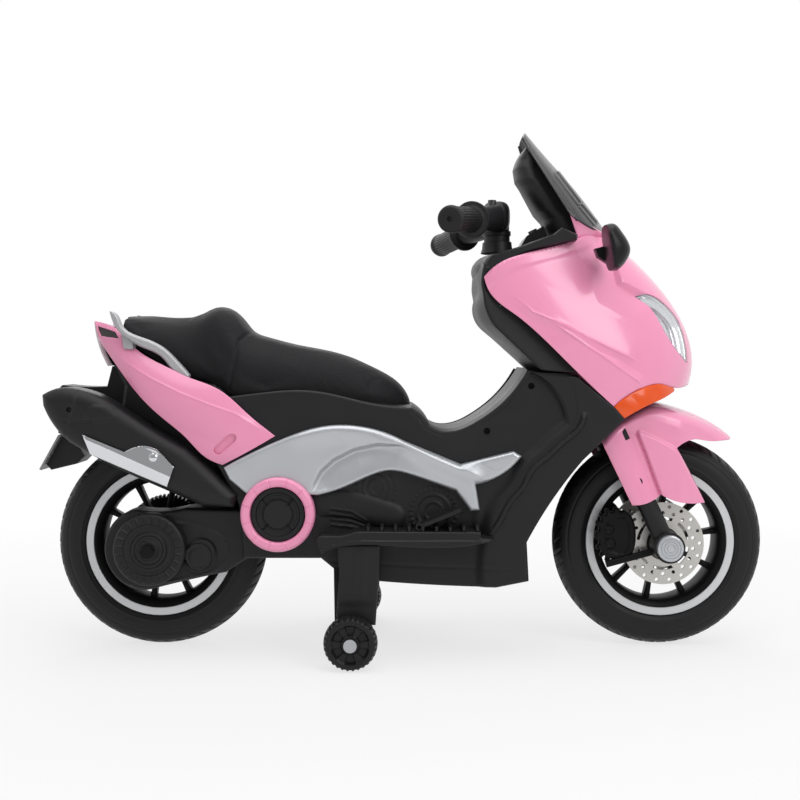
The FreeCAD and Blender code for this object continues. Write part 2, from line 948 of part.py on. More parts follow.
def make_power_button():
    centre = power_button_place()
    low = centre - steer_up(button_height - button_travel - seat_gap)
    return rod(low, centre + steer_up(button_proud), power_button_radius)


# Mirrors
def make_mirror(fairing_block):
    shell = pillow(mirror_pixels, mirror_read, [
        (-mirror_outer, -mirror_round), (mirror_round - mirror_outer, 0),
        (-mirror_round - mirror_inner, 0), (-mirror_inner, -mirror_round)])
    stalk = pillow(mirror_stalk_pixels, mirror_inner, [
        (-mirror_inner - mirror_round, 0), (-panel_half_width, 0)])
    mirror = shell.fuse(stalk.cut(fairing_block))
    return sorted(mirror.Solids, key=lambda solid: solid.Volume)[-1]


def make_mirror_glass():
    top, bottom = [spot(pixel, mirror_read) for pixel in mirror_glass_pixels]
    corners = []
    for (x, z), back in ((top, seat_gap), (bottom, seat_gap), (bottom, seat_gap + mirror_glass_wall),
                         (top, seat_gap + mirror_glass_wall), (top, seat_gap)):
        corners.append(vec(x - back, mirror_round - mirror_outer, z))
    width = mirror_outer - mirror_inner - mirror_round * 2
    return Part.Face(Part.makePolygon(corners)).extrude(vec(0, width, 0))


# Rear panels, tail, rails
rear_place = four_sided(curve_through(rear_lower_pixels), curve_through(rear_upper_pixels),
                        curve_through(rear_front_pixels), curve_through(rear_end_pixels))


def rear_panel_grid():
    """Side panel from its front tip to the tail, bowed out between its lower and upper edge."""
    width = profile_through(rear_panel_half_widths)
    grid = []
    for row in range(rear_panel_rows):
        s = row / (rear_panel_rows - 1)
        line = []
        for column in range(rear_panel_columns):
            t = column / (rear_panel_columns - 1)
            right = width(t) - rear_panel_edge_dip * (2 * s - 1) ** 2
            line.append(at(rear_place(s, t), right))
        grid.append(line)
    return grid


def make_rear_panels():
    grid = rear_panel_grid()
    panel = skin(grid, inset_grid(grid, -rear_panel_wall))
    reach = max(rear_panel_half_widths)
    inside = skin(inset_grid(grid, -rear_panel_wall / 2), inset_grid(grid, -block_depth))
    bosses = ((panel_front_boss_pixel, body_half_width), (panel_rear_boss_pixel, undertail_half_width))
    for pixel, seat in bosses:
        x, z = spot(pixel, reach)
        boss = cross_rod(x, z, -reach - overrun, -seat - seat_gap, panel_boss_radius)
        panel = panel.fuse(boss.common(inside))
    return pair(panel)


def make_undertail(others):
    outer = pillow(undertail_pixels, undertail_half_width, across(undertail_half_width, undertail_round))
    grows = [-plastic_wall] * 4 + [overrun] + [-plastic_wall] * 2
    inner_half = undertail_half_width - plastic_wall
    hollow = pillow(undertail_pixels, undertail_half_width, [(-inner_half, grows), (inner_half, grows)])
    tail = outer.cut(hollow)
    for other in others:
        tail = tail.cut(other)
    return sorted(tail.Solids, key=lambda solid: solid.Volume)[-1]


def make_rails(panels):
    rail = pillow(rail_pixels, rail_outer, [
        (-rail_outer, -rail_round), (rail_round - rail_outer, 0),
        (-rail_round - rail_inner, 0), (-rail_inner, -rail_round)])
    feet = []
    for pixel in (rail_front_foot_pixel, rail_rear_foot_pixel):
        x, z = spot(pixel, rail_outer)
        inner_end = -undertail_half_width - seat_gap
        feet.append(cross_rod(x, z, -rail_inner - rail_round, inner_end, rail_foot_radius))
    rail = fused([rail] + feet).cut(panels)
    return pair(sorted(rail.Solids, key=lambda solid: solid.Volume)[-1])


# Seat
seat_lines = [profile_through(values)
              for values in (seat_pixels_u, seat_top_v, seat_bottom_v, seat_half_widths)]


def seat_section(index, shrink):
    """Upright outline across the seat: flat base, drawn-in sides and a crowned top."""
    share = index / (seat_stations - 1)
    u, top_v, bottom_v, half = [line(share) for line in seat_lines]
    half -= shrink
    x, top = spot((u, top_v), 0)
    bottom = spot((u, bottom_v), half)[1]
    top -= shrink
    height = top - bottom
    base = half * seat_base_share
    shoulder = half * seat_shoulder_width_share
    shoulder_z = bottom + height * seat_shoulder_share
    belly_z = bottom + height * seat_belly_share
    corners = [vec(x, -base, bottom), vec(x, base, bottom), vec(x, shoulder, shoulder_z),
               vec(x, -shoulder, shoulder_z)]
    edges = [Part.makeLine(corners[0], corners[1]),
             Part.Arc(corners[1], vec(x, half, belly_z), corners[2]).toShape(),
             Part.Arc(corners[2], vec(x, 0, top), corners[3]).toShape(),
             Part.Arc(corners[3], vec(x, -half, belly_z), corners[0]).toShape()]
    return Part.Wire(edges)


def seat_loft(shrink):
    return Part.makeLoft([seat_section(i, shrink) for i in range(seat_stations)], True, False)


def make_seat(body_outer, others):
    seat = seat_loft(0.0)
    core = seat_loft(seat_seam_depth)
    x, z = spot(seat_seam_pixel, 0)
    slab = Part.makeBox(seat_seam_width, body_half_width * 2, wheelbase,
                        vec(-seat_seam_width / 2, -body_half_width, -wheelbase / 2))
    slab.rotate(vec(0, 0, 0), vec(0, 1, 0), seat_seam_lean)
    slab.translate(vec(x, 0, z))
    seat = seat.cut(slab.cut(core))
    lift = vec(0, 0, seat_gap)
    for shape in [body_outer, mirrored(body_outer)] + others:
        raised = shape.copy()
        raised.translate(lift)
        seat = seat.cut(raised)
    return sorted(seat.Solids, key=lambda solid: solid.Volume)[-1]


# Muffler, heat shield, plate holder
def make_muffler(body_outer):
    levels = [(-muffler_inner, -muffler_round), (-muffler_inner - muffler_round, 0),
              (muffler_flat - muffler_outer, 0), (-muffler_outer, -muffler_round)]
    body = pillow(muffler_pixels, (muffler_inner + muffler_outer) / 2, levels)
    x, z = spot(muffler_hanger_pixel, muffler_inner)
    near = undertail_half_width + seat_gap
    hanger = cross_rod(x, z, -muffler_inner - muffler_round, -near, muffler_hanger_radius)
    bracket_levels = [(-near - muffler_hanger_wall, 0), (-near, 0)]
    bracket = pillow(muffler_hanger_pixels, undertail_half_width, bracket_levels)
    return fused([body.cut(body_outer).cut(ring_room()), hanger, bracket])


def make_heat_shield():
    start = muffler_outer + seat_gap
    return pillow(heat_shield_pixels, muffler_outer, [
        (-start, 0), (heat_shield_round - start - heat_shield_wall, 0),
        (-start - heat_shield_wall, -heat_shield_round)])


def make_plate_holder(undertail_outer):
    holder = pillow(holder_pixels, 0, [(-holder_half_width, 0), (holder_half_width, 0)])
    holder = holder.cut(undertail_outer).cut(plate_block(block_depth, plate_wall + seat_gap))
    return sorted(holder.Solids, key=lambda solid: solid.Volume)[-1]


def plate_block(outside, inside):
    """Block over the sloping rear face of the holder, out of that face and into it."""
    top_x, top_z = spot(plate_top_pixel, 0)
    low_x, low_z = spot(tail_end_pixel, 0)
    slope = vec(top_x - low_x, 0, top_z - low_z).normalize()
    inward = vec(slope.z, 0, -slope.x)
    low = vec(low_x, -plate_half_width, low_z)
    top = vec(top_x, -plate_half_width, top_z)
    corners = [low - inward * outside, top - inward * outside, top + inward * inside, low + inward * inside]
    return Part.Face(Part.makePolygon(corners + corners[:1])).extrude(vec(0, plate_half_width * 2, 0))


# Wheels
def wheel_turned(axle_x, profile):
    """Turn a closed profile of (radius, y, bend) points about the axle; bend marks the middle of an arc."""
    points = [(vec(axle_x + radius, y, axle_z), bend) for radius, y, bend in profile]
    edges = []
    index = 0
    while index < len(points) - 1:
        if points[index + 1][1]:
            edges.append(Part.Arc(points[index][0], points[index + 1][0], points[index + 2][0]).toShape())
            index += 2
        else:
            edges.append(Part.makeLine(points[index][0], points[index + 1][0]))
            index += 1
    return Part.Face(Part.Wire(edges)).revolve(vec(axle_x, 0, axle_z), vec(0, 1, 0), 360)


def make_tyre(axle_x):
    bead = rim_seat_radius + seat_gap
    wall_start = rim_lip_radius + seat_gap
    half = tyre_width / 2
    shoulder = tyre_radius - tyre_shoulder_drop
    middle = (wall_start + shoulder) / 2
    shoulder_half = tyre_shoulder_half_width
    profile = [
        (bead, -bead_half_width, False), (wall_start, -bead_half_width, False),
        (middle, -half, True), (shoulder, -shoulder_half, False),
        (tyre_radius, 0, True), (shoulder, shoulder_half, False),
        (middle, half, True), (wall_start, bead_half_width, False),
        (bead, bead_half_width, False), (bead, -bead_half_width, False)]
    return wheel_turned(axle_x, profile)


def make_rim(axle_x, hub_right, hub_left):
    inner_lip = bead_half_width + seat_gap
    outer_lip = inner_lip + rim_lip_thickness
    ring = rim_lip_radius - rim_ring_width
    cone = outer_lip - rim_cone_depth
    half = [(rim_inner_radius, cone), (ring, outer_lip), (rim_lip_radius, outer_lip),
            (rim_lip_radius, inner_lip), (rim_seat_radius, inner_lip)]
    loop = [(radius, y, False) for radius, y in half] + [(radius, -y, False) for radius, y in half[::-1]]
    barrel = wheel_turned(axle_x, loop + loop[:1])
    pieces = [barrel, cross_rod(axle_x, axle_z, -hub_right, hub_left, hub_radius)]
    for index in range(spoke_count):
        spoke = Part.makeBox(rim_inner_radius, spoke_half_depth * 2, spoke_width,
                             vec(axle_x + axle_radius, -spoke_half_depth, axle_z - spoke_width / 2))
        angle = first_spoke_angle + 360 / spoke_count * index
        spoke.rotate(vec(axle_x, 0, axle_z), vec(0, 1, 0), -angle)
        pieces.append(spoke)
    bore = cross_rod(axle_x, axle_z, -hub_right - overrun, hub_left + overrun, axle_radius + running_gap)
    return fused(pieces).cut(bore)


def make_brake_discs():
    """Perforated band on arms, one beside each end of the front hub."""
    near = -disc_place - disc_thickness / 2
    far = near + disc_thickness
    axle = (front_axle_x, axle_z)
    band = cross_rod(*axle, near, far, disc_radius).cut(
        cross_rod(*axle, near, far, disc_radius - disc_band))
    hub_ring = cross_rod(*axle, near, far, hub_radius + disc_arm_width)
    pieces = [band, hub_ring]
    for index in range(disc_arm_count):
        arm = Part.makeBox(disc_radius - disc_band / 2, disc_thickness, disc_arm_width,
                           vec(front_axle_x, near, axle_z - disc_arm_width / 2))
        arm.rotate(vec(front_axle_x, 0, axle_z), vec(0, 1, 0), 360 / disc_arm_count * index)
        pieces.append(arm)
    disc = fused(pieces).cut(cross_rod(*axle, near, far, hub_radius + running_gap))
    holes = []
    for row, share in enumerate(disc_row_share):
        radius = disc_radius - disc_band * share
        for index in range(disc_hole_count):
            angle = 2 * math.pi * (index + row / 2) / disc_hole_count
            x = front_axle_x + radius * math.cos(angle)
            z = axle_z + radius * math.sin(angle)
            holes.append(cross_rod(x, z, near, far, disc_hole_radius))
    return pair(disc.cut(Part.makeCompound(holes)))


def make_calipers(fork):
    levels = [(-caliper_outer, -caliper_round), (caliper_round - caliper_outer, 0), (-caliper_inner, 0)]
    block = pillow(caliper_pixels, disc_place, levels)
    start, end = [spot(pixel, disc_place) for pixel in torque_rod_pixels]
    torque_rod = rod(vec(start[0], -torque_rod_place, start[1]), vec(end[0], -torque_rod_place, end[1]),
                     torque_rod_radius)
    slot_half = disc_thickness / 2 + caliper_slot
    slot = cross_rod(front_axle_x, axle_z, -disc_place - slot_half, -disc_place + slot_half,
                     disc_radius + caliper_slot + caliper_slot)
    caliper = block.fuse(torque_rod).cut(slot).cut(fork)
    hub = cross_rod(front_axle_x, axle_z, -fork_boss_inner, fork_boss_inner, hub_radius + caliper_slot)
    return pair(sorted(caliper.cut(hub).Solids, key=lambda solid: solid.Volume)[-1])


# Fork and steering
def make_fork(mudguard):
    pieces = [steer_block(bridge_top, bridge_bottom, -bridge_back, bridge_front, bridge_hub_half),
              steer_block(bridge_top, bridge_bottom, bridge_arm_back, bridge_front,
                          fork_leg_place + fork_leg_radius)]
    for side in (-1, 1):
        foot = steer(axle_along, axle_front, side * fork_leg_place)
        top = steer(bridge_top, axle_front, side * fork_leg_place)
        pieces.append(rod(foot, top, fork_leg_radius))
        pieces.append(cross_rod(front_axle_x, axle_z, side * fork_boss_inner, side * fork_boss_outer,
                                fork_boss_radius))
        boss = steer(mudguard_boss_along, axle_front, side * fork_leg_place)
        skin_inside = mudguard_half_width - plastic_wall - seat_gap
        pieces.append(rod(boss, vec(boss.x, side * skin_inside, boss.z), mudguard_boss_radius))
    stem_bore = rod(steer(bridge_top - overrun, 0, 0), steer(bridge_bottom + overrun, 0, 0),
                    stem_radius + running_gap)
    axle_bore = cross_rod(front_axle_x, axle_z, -fork_boss_outer - overrun, fork_boss_outer + overrun,
                          axle_radius + running_gap)
    fork = fused(pieces).cut(stem_bore).cut(axle_bore).cut(mudguard)
    return sorted(fork.Solids, key=lambda solid: solid.Volume)[-1]


def make_stem():
    top = steer(-pod_radius, 0, 0)
    shaft = rod(top, steer(bridge_bottom, 0, 0), stem_radius)
    collar_top = head_tube_bottom + bush_flange + seat_gap * 2
    collar = rod(steer(collar_top, 0, 0), steer(collar_top + stem_collar_height, 0, 0),
                 stem_radius + bush_wall + head_tube_wall)
    return shaft.fuse(collar)


def make_head_tube():
    """Steel tube for the stem, on a cross stay in the leg shield and one in the body halves."""
    inner = stem_radius + bush_wall + running_gap * 2
    outer = head_tube_radius()
    ends = (steer(head_tube_top, 0, 0), steer(head_tube_bottom, 0, 0))
    upper = steer_block(upper_stay_along, upper_stay_along + stay_size,
                        -upper_stay_back - stay_size, -upper_stay_back,
                        wing_half_width - plastic_wall - seat_gap)
    link = steer_block(upper_stay_along, upper_stay_along + stay_size, -upper_stay_back - stay_size, 0, outer)
    lower = steer_block(lower_stay_along - stay_size, lower_stay_along, -stay_size, stay_size,
                        body_half_width - plastic_wall - seat_gap)
    tube = fused([rod(ends[0], ends[1], outer), upper, link, lower])
    return tube.cut(rod(steer(head_tube_top - overrun, 0, 0), steer(head_tube_bottom + overrun, 0, 0), inner))


def make_bushes():
    bore = stem_radius + running_gap
    outside = stem_radius + bush_wall + running_gap
    bushes = []
    for end, inward in ((head_tube_top, 1), (head_tube_bottom, -1)):
        sleeve = rod(steer(end, 0, 0), steer(end + inward * bush_length, 0, 0), outside)
        flange_start = end - inward * seat_gap
        flange = rod(steer(end, 0, 0), steer(flange_start - inward * bush_flange, 0, 0),
                     outside).fuse(rod(steer(flange_start, 0, 0),
                                       steer(flange_start - inward * bush_flange, 0, 0),
                                       outside + head_tube_wall))
        hole = rod(steer(end - bush_length - overrun, 0, 0), steer(end + bush_length + overrun, 0, 0), bore)
        bushes.append(sleeve.fuse(flange).cut(hole).removeSplitter())
    return Part.makeCompound(bushes)


def mudguard_plan(wall):
    """Upright block over the guard's plan, which narrows to the front tip, drawn in by wall."""
    half = mudguard_half_width - wall
    tip = mudguard_tip_half_width - wall
    bend = [vec(spot(pixel, mudguard_half_width)[0], tip + (half - tip) * share, 0)
            for pixel, share in zip(mudguard_taper_pixels, mudguard_taper_shares)]
    back = vec(spot(mudguard_pixels[-1][0], mudguard_half_width)[0] - block_depth, half, 0)
    left = [Part.makeLine(back, bend[0])]
    curve = Part.BSplineCurve()
    curve.interpolate(bend)
    left.append(curve.toShape())
    right = [edge.mirror(vec(0, 0, 0), vec(0, 1, 0)) for edge in left]
    ends = [Part.makeLine(bend[-1], vec(bend[-1].x, -bend[-1].y, 0)),
            Part.makeLine(back, vec(back.x, -back.y, 0))]
    edges = Part.sortEdges(left + right + ends)[0]
    return Part.Face(Part.Wire(edges)).extrude(vec(0, 0, column_z))


def make_mudguard():
    """Pink guard over the front tyre whose sides run down over the fork legs."""
    read = mudguard_half_width
    eased = [-mudguard_round, 0, 0, 0, 0, 0, 0]
    full = [0] * len(mudguard_pixels)
    outer = pillow(mudguard_pixels, read, [
        (-mudguard_half_width, eased), (-mudguard_crown_half, full),
        (mudguard_crown_half, full), (mudguard_half_width, eased)])
    wall = plastic_wall
    inner_full = [-wall, overrun, overrun, overrun, overrun, -wall, -wall]
    inner_eased = [-wall - mudguard_round] + inner_full[1:]
    inside = mudguard_half_width - wall
    hollow = pillow(mudguard_pixels, read, [
        (-inside, inner_eased), (-mudguard_crown_half, inner_full),
        (mudguard_crown_half, inner_full), (inside, inner_eased)])
    room = steer_block(bridge_top - bridge_gap, bridge_bottom + bridge_gap, -bridge_back - bridge_gap,
                       axle_front, bridge_hub_half + seat_gap)
    slot = cross_rod(front_axle_x, axle_z, -mudguard_tyre_slot, mudguard_tyre_slot,
                     tyre_radius + bridge_gap)
    stem_room = rod(steer(cavity_top - overrun, 0, 0), steer(bridge_bottom, 0, 0), mudguard_stem_hole)
    guard = outer.common(mudguard_plan(0.0)).cut(hollow.common(mudguard_plan(wall)))
    guard = guard.cut(room).cut(slot).cut(stem_room)
    return sorted(guard.Solids, key=lambda solid: solid.Volume)[-1]


def grip_line():
    """Start and end of the right grip along the swept-back bar."""
    return at(flange_pixel, flange_place), at(grip_end_pixel, handlebar_width / 2)


def button_place():
    return at(pod_pixel, pod_place)


def make_handlebar():
    centre = at(bar_centre_pixel, 0)
    pod = button_place()
    start, end = grip_line()
    inner_end = end - (end - start).normalize() * grip_end_wall
    half = [rod(centre, pod, bar_radius), Part.makeSphere(bar_radius, pod), rod(pod, start, bar_radius),
            Part.makeSphere(bar_radius, start), rod(start, inner_end, bar_radius)]
    toward = vec(0, -pod_length / 2, 0)
    half.append(rod(pod - toward, pod + toward, pod_radius))
    half_bar = fused(half)
    neck = rod(steer(-pod_radius - yoke_radius / 2, 0, 0), steer(neck_bottom, 0, 0), neck_radius)
    yoke = rod(vec(centre.x, -pod_place, centre.z), vec(centre.x, pod_place, centre.z), yoke_radius)
    bar = fused([half_bar, mirrored(half_bar), neck, yoke])
    bore = rod(steer(-pod_radius - running_gap, 0, 0), steer(neck_bottom + overrun, 0, 0),
               stem_radius + running_gap)
    bar = bar.cut(bore)
    well_floor = vec(pod.x, pod.y, pod.z + pod_radius - button_height)
    well = Part.makeCylinder(button_radius + button_gap, button_height + yoke_radius, well_floor)
    return bar.cut(well).cut(mirrored(well))


def make_bar_button():
    pod = button_place()
    low = pod.z + pod_radius - button_height + button_travel + seat_gap
    high = pod.z + pod_radius + button_proud
    return Part.makeCylinder(button_radius, high - low, vec(pod.x, pod.y, low))


def make_grips():
    start, end = grip_line()
    direction = (end - start).normalize()
    flange = rod(start, start + direction * grip_flange_width, grip_flange_radius)
    sleeve = rod(start, end, grip_radius)
    bore = rod(start - direction * overrun, end - direction * (grip_end_wall - running_gap),
               bar_radius + running_gap)
    ball = Part.makeSphere(bar_radius + running_gap, start)
    inner_bar = rod(button_place(), start, bar_radius + running_gap)
    return pair(sleeve.fuse(flange).cut(bore).cut(ball).cut(inner_bar).removeSplitter())


def make_fork_caps():
    start = fork_boss_outer + seat_gap
    middle = start + fork_cap_height / 2
    base = cross_rod(front_axle_x, axle_z, -middle, -start, fork_cap_radius)
    step = cross_rod(front_axle_x, axle_z, -start - fork_cap_height, -middle, fork_cap_step)
    return pair(base.fuse(step))


# Rear drive
def motor_place_xz():
    distance = gear_module * (wheel_gear_teeth + pinion_teeth) / 2
    ahead = math.sqrt(distance ** 2 - motor_drop ** 2)
    return rear_axle_x + ahead, axle_z - motor_drop


def make_swing_arm(body_outer, motor_side):
    """Hollow arm from the body to the rear axle; the left one holds the motor."""
    levels = [(-arm_outer, -arm_round), (arm_round - arm_outer, 0), (-arm_inner, 0)]
    outer = pillow(arm_pixels, arm_outer, levels)
    inner = pillow(arm_pixels, arm_outer, [
        (arm_wall - arm_outer, -arm_wall - arm_round), (arm_round - arm_outer, -arm_wall),
        (-arm_inner - arm_wall, -arm_wall)])
    x, z = motor_place_xz()
    bump = cross_rod(x, z, -arm_outer - motor_cover_height, -arm_outer + arm_wall, motor_cover_radius)
    sleeve = cross_rod(rear_axle_x, axle_z, -arm_outer, -arm_inner, axle_radius + arm_wall)
    arm = outer.cut(inner).fuse(bump).fuse(sleeve)
    arm = arm.cut(cross_rod(rear_axle_x, axle_z, -arm_outer - overrun, 0, axle_radius + running_gap))
    if motor_side:
        seat = cross_rod(x, z, -motor_place - motor_length / 2, -arm_inner - arm_wall,
                         motor_radius + arm_wall)
        room = cross_rod(x, z, -arm_outer, -motor_place, motor_radius + running_gap)
        arm = arm.fuse(seat).cut(room).cut(cross_rod(x, z, -motor_place - seat_gap, 0, motor_shaft_hole))
    arm = arm.cut(body_outer)
    return sorted(arm.Solids, key=lambda solid: solid.Volume)[-1]


def make_drive_covers():
    start = arm_outer + seat_gap
    axle = (rear_axle_x, axle_z)
    plate = cross_rod(*axle, -start - cover_height, -start, cover_radius)
    x, z = motor_place_xz()
    room = cross_rod(x, z, -start - cover_height, -start, motor_cover_radius + seat_gap)
    step = cross_rod(*axle, -start - cover_height - cover_step_height, -start, cover_step_radius)
    cover = plate.cut(room).fuse(step)
    outside = start + cover_height + cover_step_height + overrun
    return pair(cover.cut(cross_rod(*axle, -outside, 0, axle_radius + running_gap)))


def make_axle(axle_x, half_length):
    return cross_rod(axle_x, axle_z, -half_length, half_length, axle_radius)


def rear_axle_half():
    return arm_outer + seat_gap + cover_height + cover_step_height + seat_gap + nut_height


def make_axle_nuts():
    face = arm_outer + seat_gap + cover_height + cover_step_height + seat_gap
    corners = []
    for index in range(nut_sides + 1):
        angle = 2 * math.pi * index / nut_sides
        corners.append(vec(rear_axle_x + nut_radius * math.cos(angle), -face,
                           axle_z + nut_radius * math.sin(angle)))
    nut = Part.Face(Part.makePolygon(corners)).extrude(vec(0, -nut_height, 0))
    hole = cross_rod(rear_axle_x, axle_z, -face - nut_height - overrun, 0, axle_radius + running_gap)
    return pair(nut.cut(hole))


def gear_outline(teeth, centre_x, centre_z, y, turn):
    """Toothed outline with involute flanks, one tooth space turned to the angle turn."""
    pitch = gear_module * teeth / 2
    pressure = math.radians(pressure_angle)
    base = pitch * math.cos(pressure)
    tip = pitch + gear_module
    root = pitch - gear_module * tooth_root_share
    half_tooth = math.pi / (2 * teeth) - gear_backlash / (2 * pitch)

    def flank(radius):
        roll = math.acos(min(1.0, base / max(radius, base)))
        return half_tooth + math.tan(pressure) - pressure - (math.tan(roll) - roll)

    levels = [root, max(root, base), pitch, tip]
    points = []
    for tooth in range(teeth):
        middle = turn + 2 * math.pi * tooth / teeth
        for side, radii in ((-1, levels), (1, levels[::-1])):
            for radius in radii:
                angle = middle + side * flank(radius)
                point = vec(centre_x + radius * math.cos(angle), y, centre_z + radius * math.sin(angle))
                if not points or (point - points[-1]).Length > running_gap:
                    points.append(point)
    return Part.Face(Part.makePolygon(points + points[:1]))


def mesh_angle():
    x, z = motor_place_xz()
    return math.atan2(z - axle_z, x - rear_axle_x)


def make_wheel_gear():
    face = gear_outline(wheel_gear_teeth, rear_axle_x, axle_z, gear_place, mesh_angle())
    gear = face.extrude(vec(0, gear_width, 0))
    axle = (rear_axle_x, axle_z)
    pitch = gear_module * wheel_gear_teeth / 2
    pocket = cross_rod(*axle, gear_place + gear_web, gear_place + gear_width, pitch - gear_rim)
    hub = cross_rod(*axle, gear_place, gear_place + gear_width, hub_radius)
    gear = gear.cut(pocket).fuse(hub)
    return gear.cut(cross_rod(*axle, 0, gear_place + gear_width + overrun, axle_radius + running_gap))


def make_pinion():
    x, z = motor_place_xz()
    half_step = math.pi / pinion_teeth
    face = gear_outline(pinion_teeth, x, z, gear_place, mesh_angle() + math.pi + half_step)
    pinion = face.extrude(vec(0, gear_width, 0))
    shaft = cross_rod(x, z, gear_place, motor_place + motor_shaft_depth, motor_shaft_radius)
    return pinion.fuse(shaft)


def make_motor():
    x, z = motor_place_xz()
    can = cross_rod(x, z, motor_place + seat_gap, motor_place + seat_gap + motor_length, motor_radius)
    return can.cut(cross_rod(x, z, 0, motor_place + motor_shaft_depth + seat_gap,
                             motor_shaft_radius + running_gap))


# Sides
def ring_room():
    """Round space that the side ring needs, with a gap all round."""
    x, z = spot(ring_pixel, ring_read)
    return cross_rod(x, z, -ring_outer - overrun, 0, ring_outer_radius + seat_gap * 2)


def make_trims():
    start = body_half_width + seat_gap
    trim = pillow(trim_pixels, trim_read, [
        (-start, 0), (trim_flat - trim_outer, 0), (-trim_outer, -trim_round)])
    trim = trim.cut(ring_room())
    return pair(sorted(trim.Solids, key=lambda solid: solid.Volume)[-1])


def make_rings():
    x, z = spot(ring_pixel, ring_read)
    start = body_half_width + seat_gap
    disc = cross_rod(x, z, -ring_outer, -start, ring_outer_radius)
    ring = disc.cut(cross_rod(x, z, -ring_outer, -start, ring_inner_radius))
    rims = [edge for edge in ring.Edges
            if abs(edge.BoundBox.YMax + ring_outer) < running_gap and edge.BoundBox.YLength < running_gap]
    return pair(ring.makeFillet(ring_round, rims))


def make_caps():
    x, z = spot(ring_pixel, ring_read)
    start = body_half_width + seat_gap
    disc = cross_rod(x, z, -cap_outer, -start, ring_inner_radius - cap_gap)
    return pair(disc.cut(cross_rod(x, z, -cap_outer, cap_dish_depth - cap_outer, cap_dish_radius)))


# Footboards and pedal
def pedal_hinge():
    x, z = spot(pedal_heel_pixel, pedal_read)
    return vec(x, -pedal_read, z)


def make_board(pedal_side):
    """Foot rest with a ribbed top, hollow underneath; the right one carries the pedal's hinge pin."""
    start = body_half_width + seat_gap
    board = pillow(board_pixels, board_outer, [
        (-start, 0), (board_round - board_outer, 0), (-board_outer, -board_round)])
    grows = [-board_wall, -board_wall, overrun, -board_wall]
    board = board.cut(pillow(board_pixels, board_outer, [
        (-start - board_wall, grows), (board_wall + board_round - board_outer, grows)]))
    first, top = spot(ridge_first_pixel, board_outer)
    last = spot(ridge_last_pixel, board_outer)[0]
    hinge = pedal_hinge()
    length = board_outer - board_round - start - ridge_margin * 2
    pieces = [board]
    for index in range(ridge_count):
        x = first + (last - first) * index / (ridge_count - 1)
        under_pedal = -pedal_barrel_radius * 2 - ridge_width < x - hinge.x < pedal_length + ridge_width
        if pedal_side and under_pedal:
            continue
        pieces.append(Part.makeBox(ridge_width, length, ridge_height + board_wall,
                                   vec(x, -start - ridge_margin - length, top - board_wall)))
    if pedal_side:
        half = pedal_width / 2 + pedal_side_gap
        pieces.append(cross_rod(hinge.x, hinge.z, hinge.y - half - pedal_lug_width,
                                hinge.y + half + pedal_lug_width, pedal_pin_radius))
        for y in (hinge.y - half - pedal_lug_width, hinge.y + half):
            lug = Part.makeBox(pedal_barrel_radius * 2, pedal_lug_width, hinge.z - top + board_wall,
                               vec(hinge.x - pedal_barrel_radius, y, top - board_wall))
            head = cross_rod(hinge.x, hinge.z, y, y + pedal_lug_width, pedal_barrel_radius)
            pieces += [lug, head]
    return fused(pieces)


def make_pedal():
    """Foot plate that rises forward from its hinge at the heel."""
    hinge = pedal_hinge()
    near = hinge.y - pedal_width / 2
    plate = Part.makeBox(pedal_length, pedal_width, pedal_wall, vec(hinge.x, near, hinge.z - pedal_wall / 2))
    plate.rotate(hinge, vec(0, 1, 0), -pedal_lift)
    barrel = cross_rod(hinge.x, hinge.z, near, near + pedal_width, pedal_barrel_radius)
    bore = cross_rod(hinge.x, hinge.z, near, near + pedal_width, pedal_pin_radius + pedal_pin_gap)
    return plate.fuse(barrel).cut(bore)


# Stabiliser wheels
side_wheel_x = spot(side_wheel_x_pixel, side_wheel_inner)[0]


def make_side_wheel():
    inner = side_wheel_inner
    place = (side_wheel_x, side_wheel_radius)
    wheel = cross_rod(*place, -inner - side_wheel_width, -inner, side_wheel_radius)
    middle = inner + side_wheel_width / 2
    half = side_wheel_groove / 2
    groove = cross_rod(*place, -middle - half, -middle + half, side_wheel_radius).cut(
        cross_rod(*place, -middle - half, -middle + half, side_wheel_radius - side_wheel_groove_depth))
    bore = cross_rod(*place, -inner - side_wheel_width, -inner, side_bolt_radius + running_gap)
    return wheel.cut(groove).cut(bore)


def make_side_arm(body_outer):
    """Arm from the belly down and outwards to a stabiliser wheel."""
    foot_z = side_wheel_radius - side_arm_foot_drop
    belly = spot(board_pixels[1][0], body_half_width)[1]
    sections = []
    for z, length, inner, outer in ((belly, side_arm_top_length, side_arm_top_inner, side_arm_top_outer),
                                    (foot_z, side_arm_foot_length, side_arm_foot_inner, side_arm_foot_outer)):
        left = side_wheel_x - length / 2
        right = side_wheel_x + length / 2
        corners = [(left, -outer), (right, -outer), (right, -inner), (left, -inner), (left, -outer)]
        sections.append(Part.makePolygon([vec(x, y, z) for x, y in corners]))
    arm = Part.makeLoft(sections, True, True).cut(body_outer)
    bore = cross_rod(side_wheel_x, side_wheel_radius, -side_wheel_inner, 0, side_bolt_radius + running_gap)
    hub = cross_rod(side_wheel_x, side_wheel_radius, -side_wheel_inner + seat_gap, -side_arm_foot_inner,
                    side_bolt_head_radius)
    lowest = sorted(arm.Solids, key=lambda solid: solid.CenterOfMass.z)[0]
    return lowest.fuse(hub).cut(bore)


def make_side_bolts():
    outer = side_wheel_inner + side_wheel_width + seat_gap
    place = (side_wheel_x, side_wheel_radius)
    shank = cross_rod(*place, -outer, -side_arm_foot_inner, side_bolt_radius)
    head = cross_rod(*place, -outer - side_bolt_head_height, -outer, side_bolt_head_radius)
    return pair(shank.fuse(head))


# Inside the body
def battery_floor():
    x, z = spot(battery_pixel, 0)
    return x, z


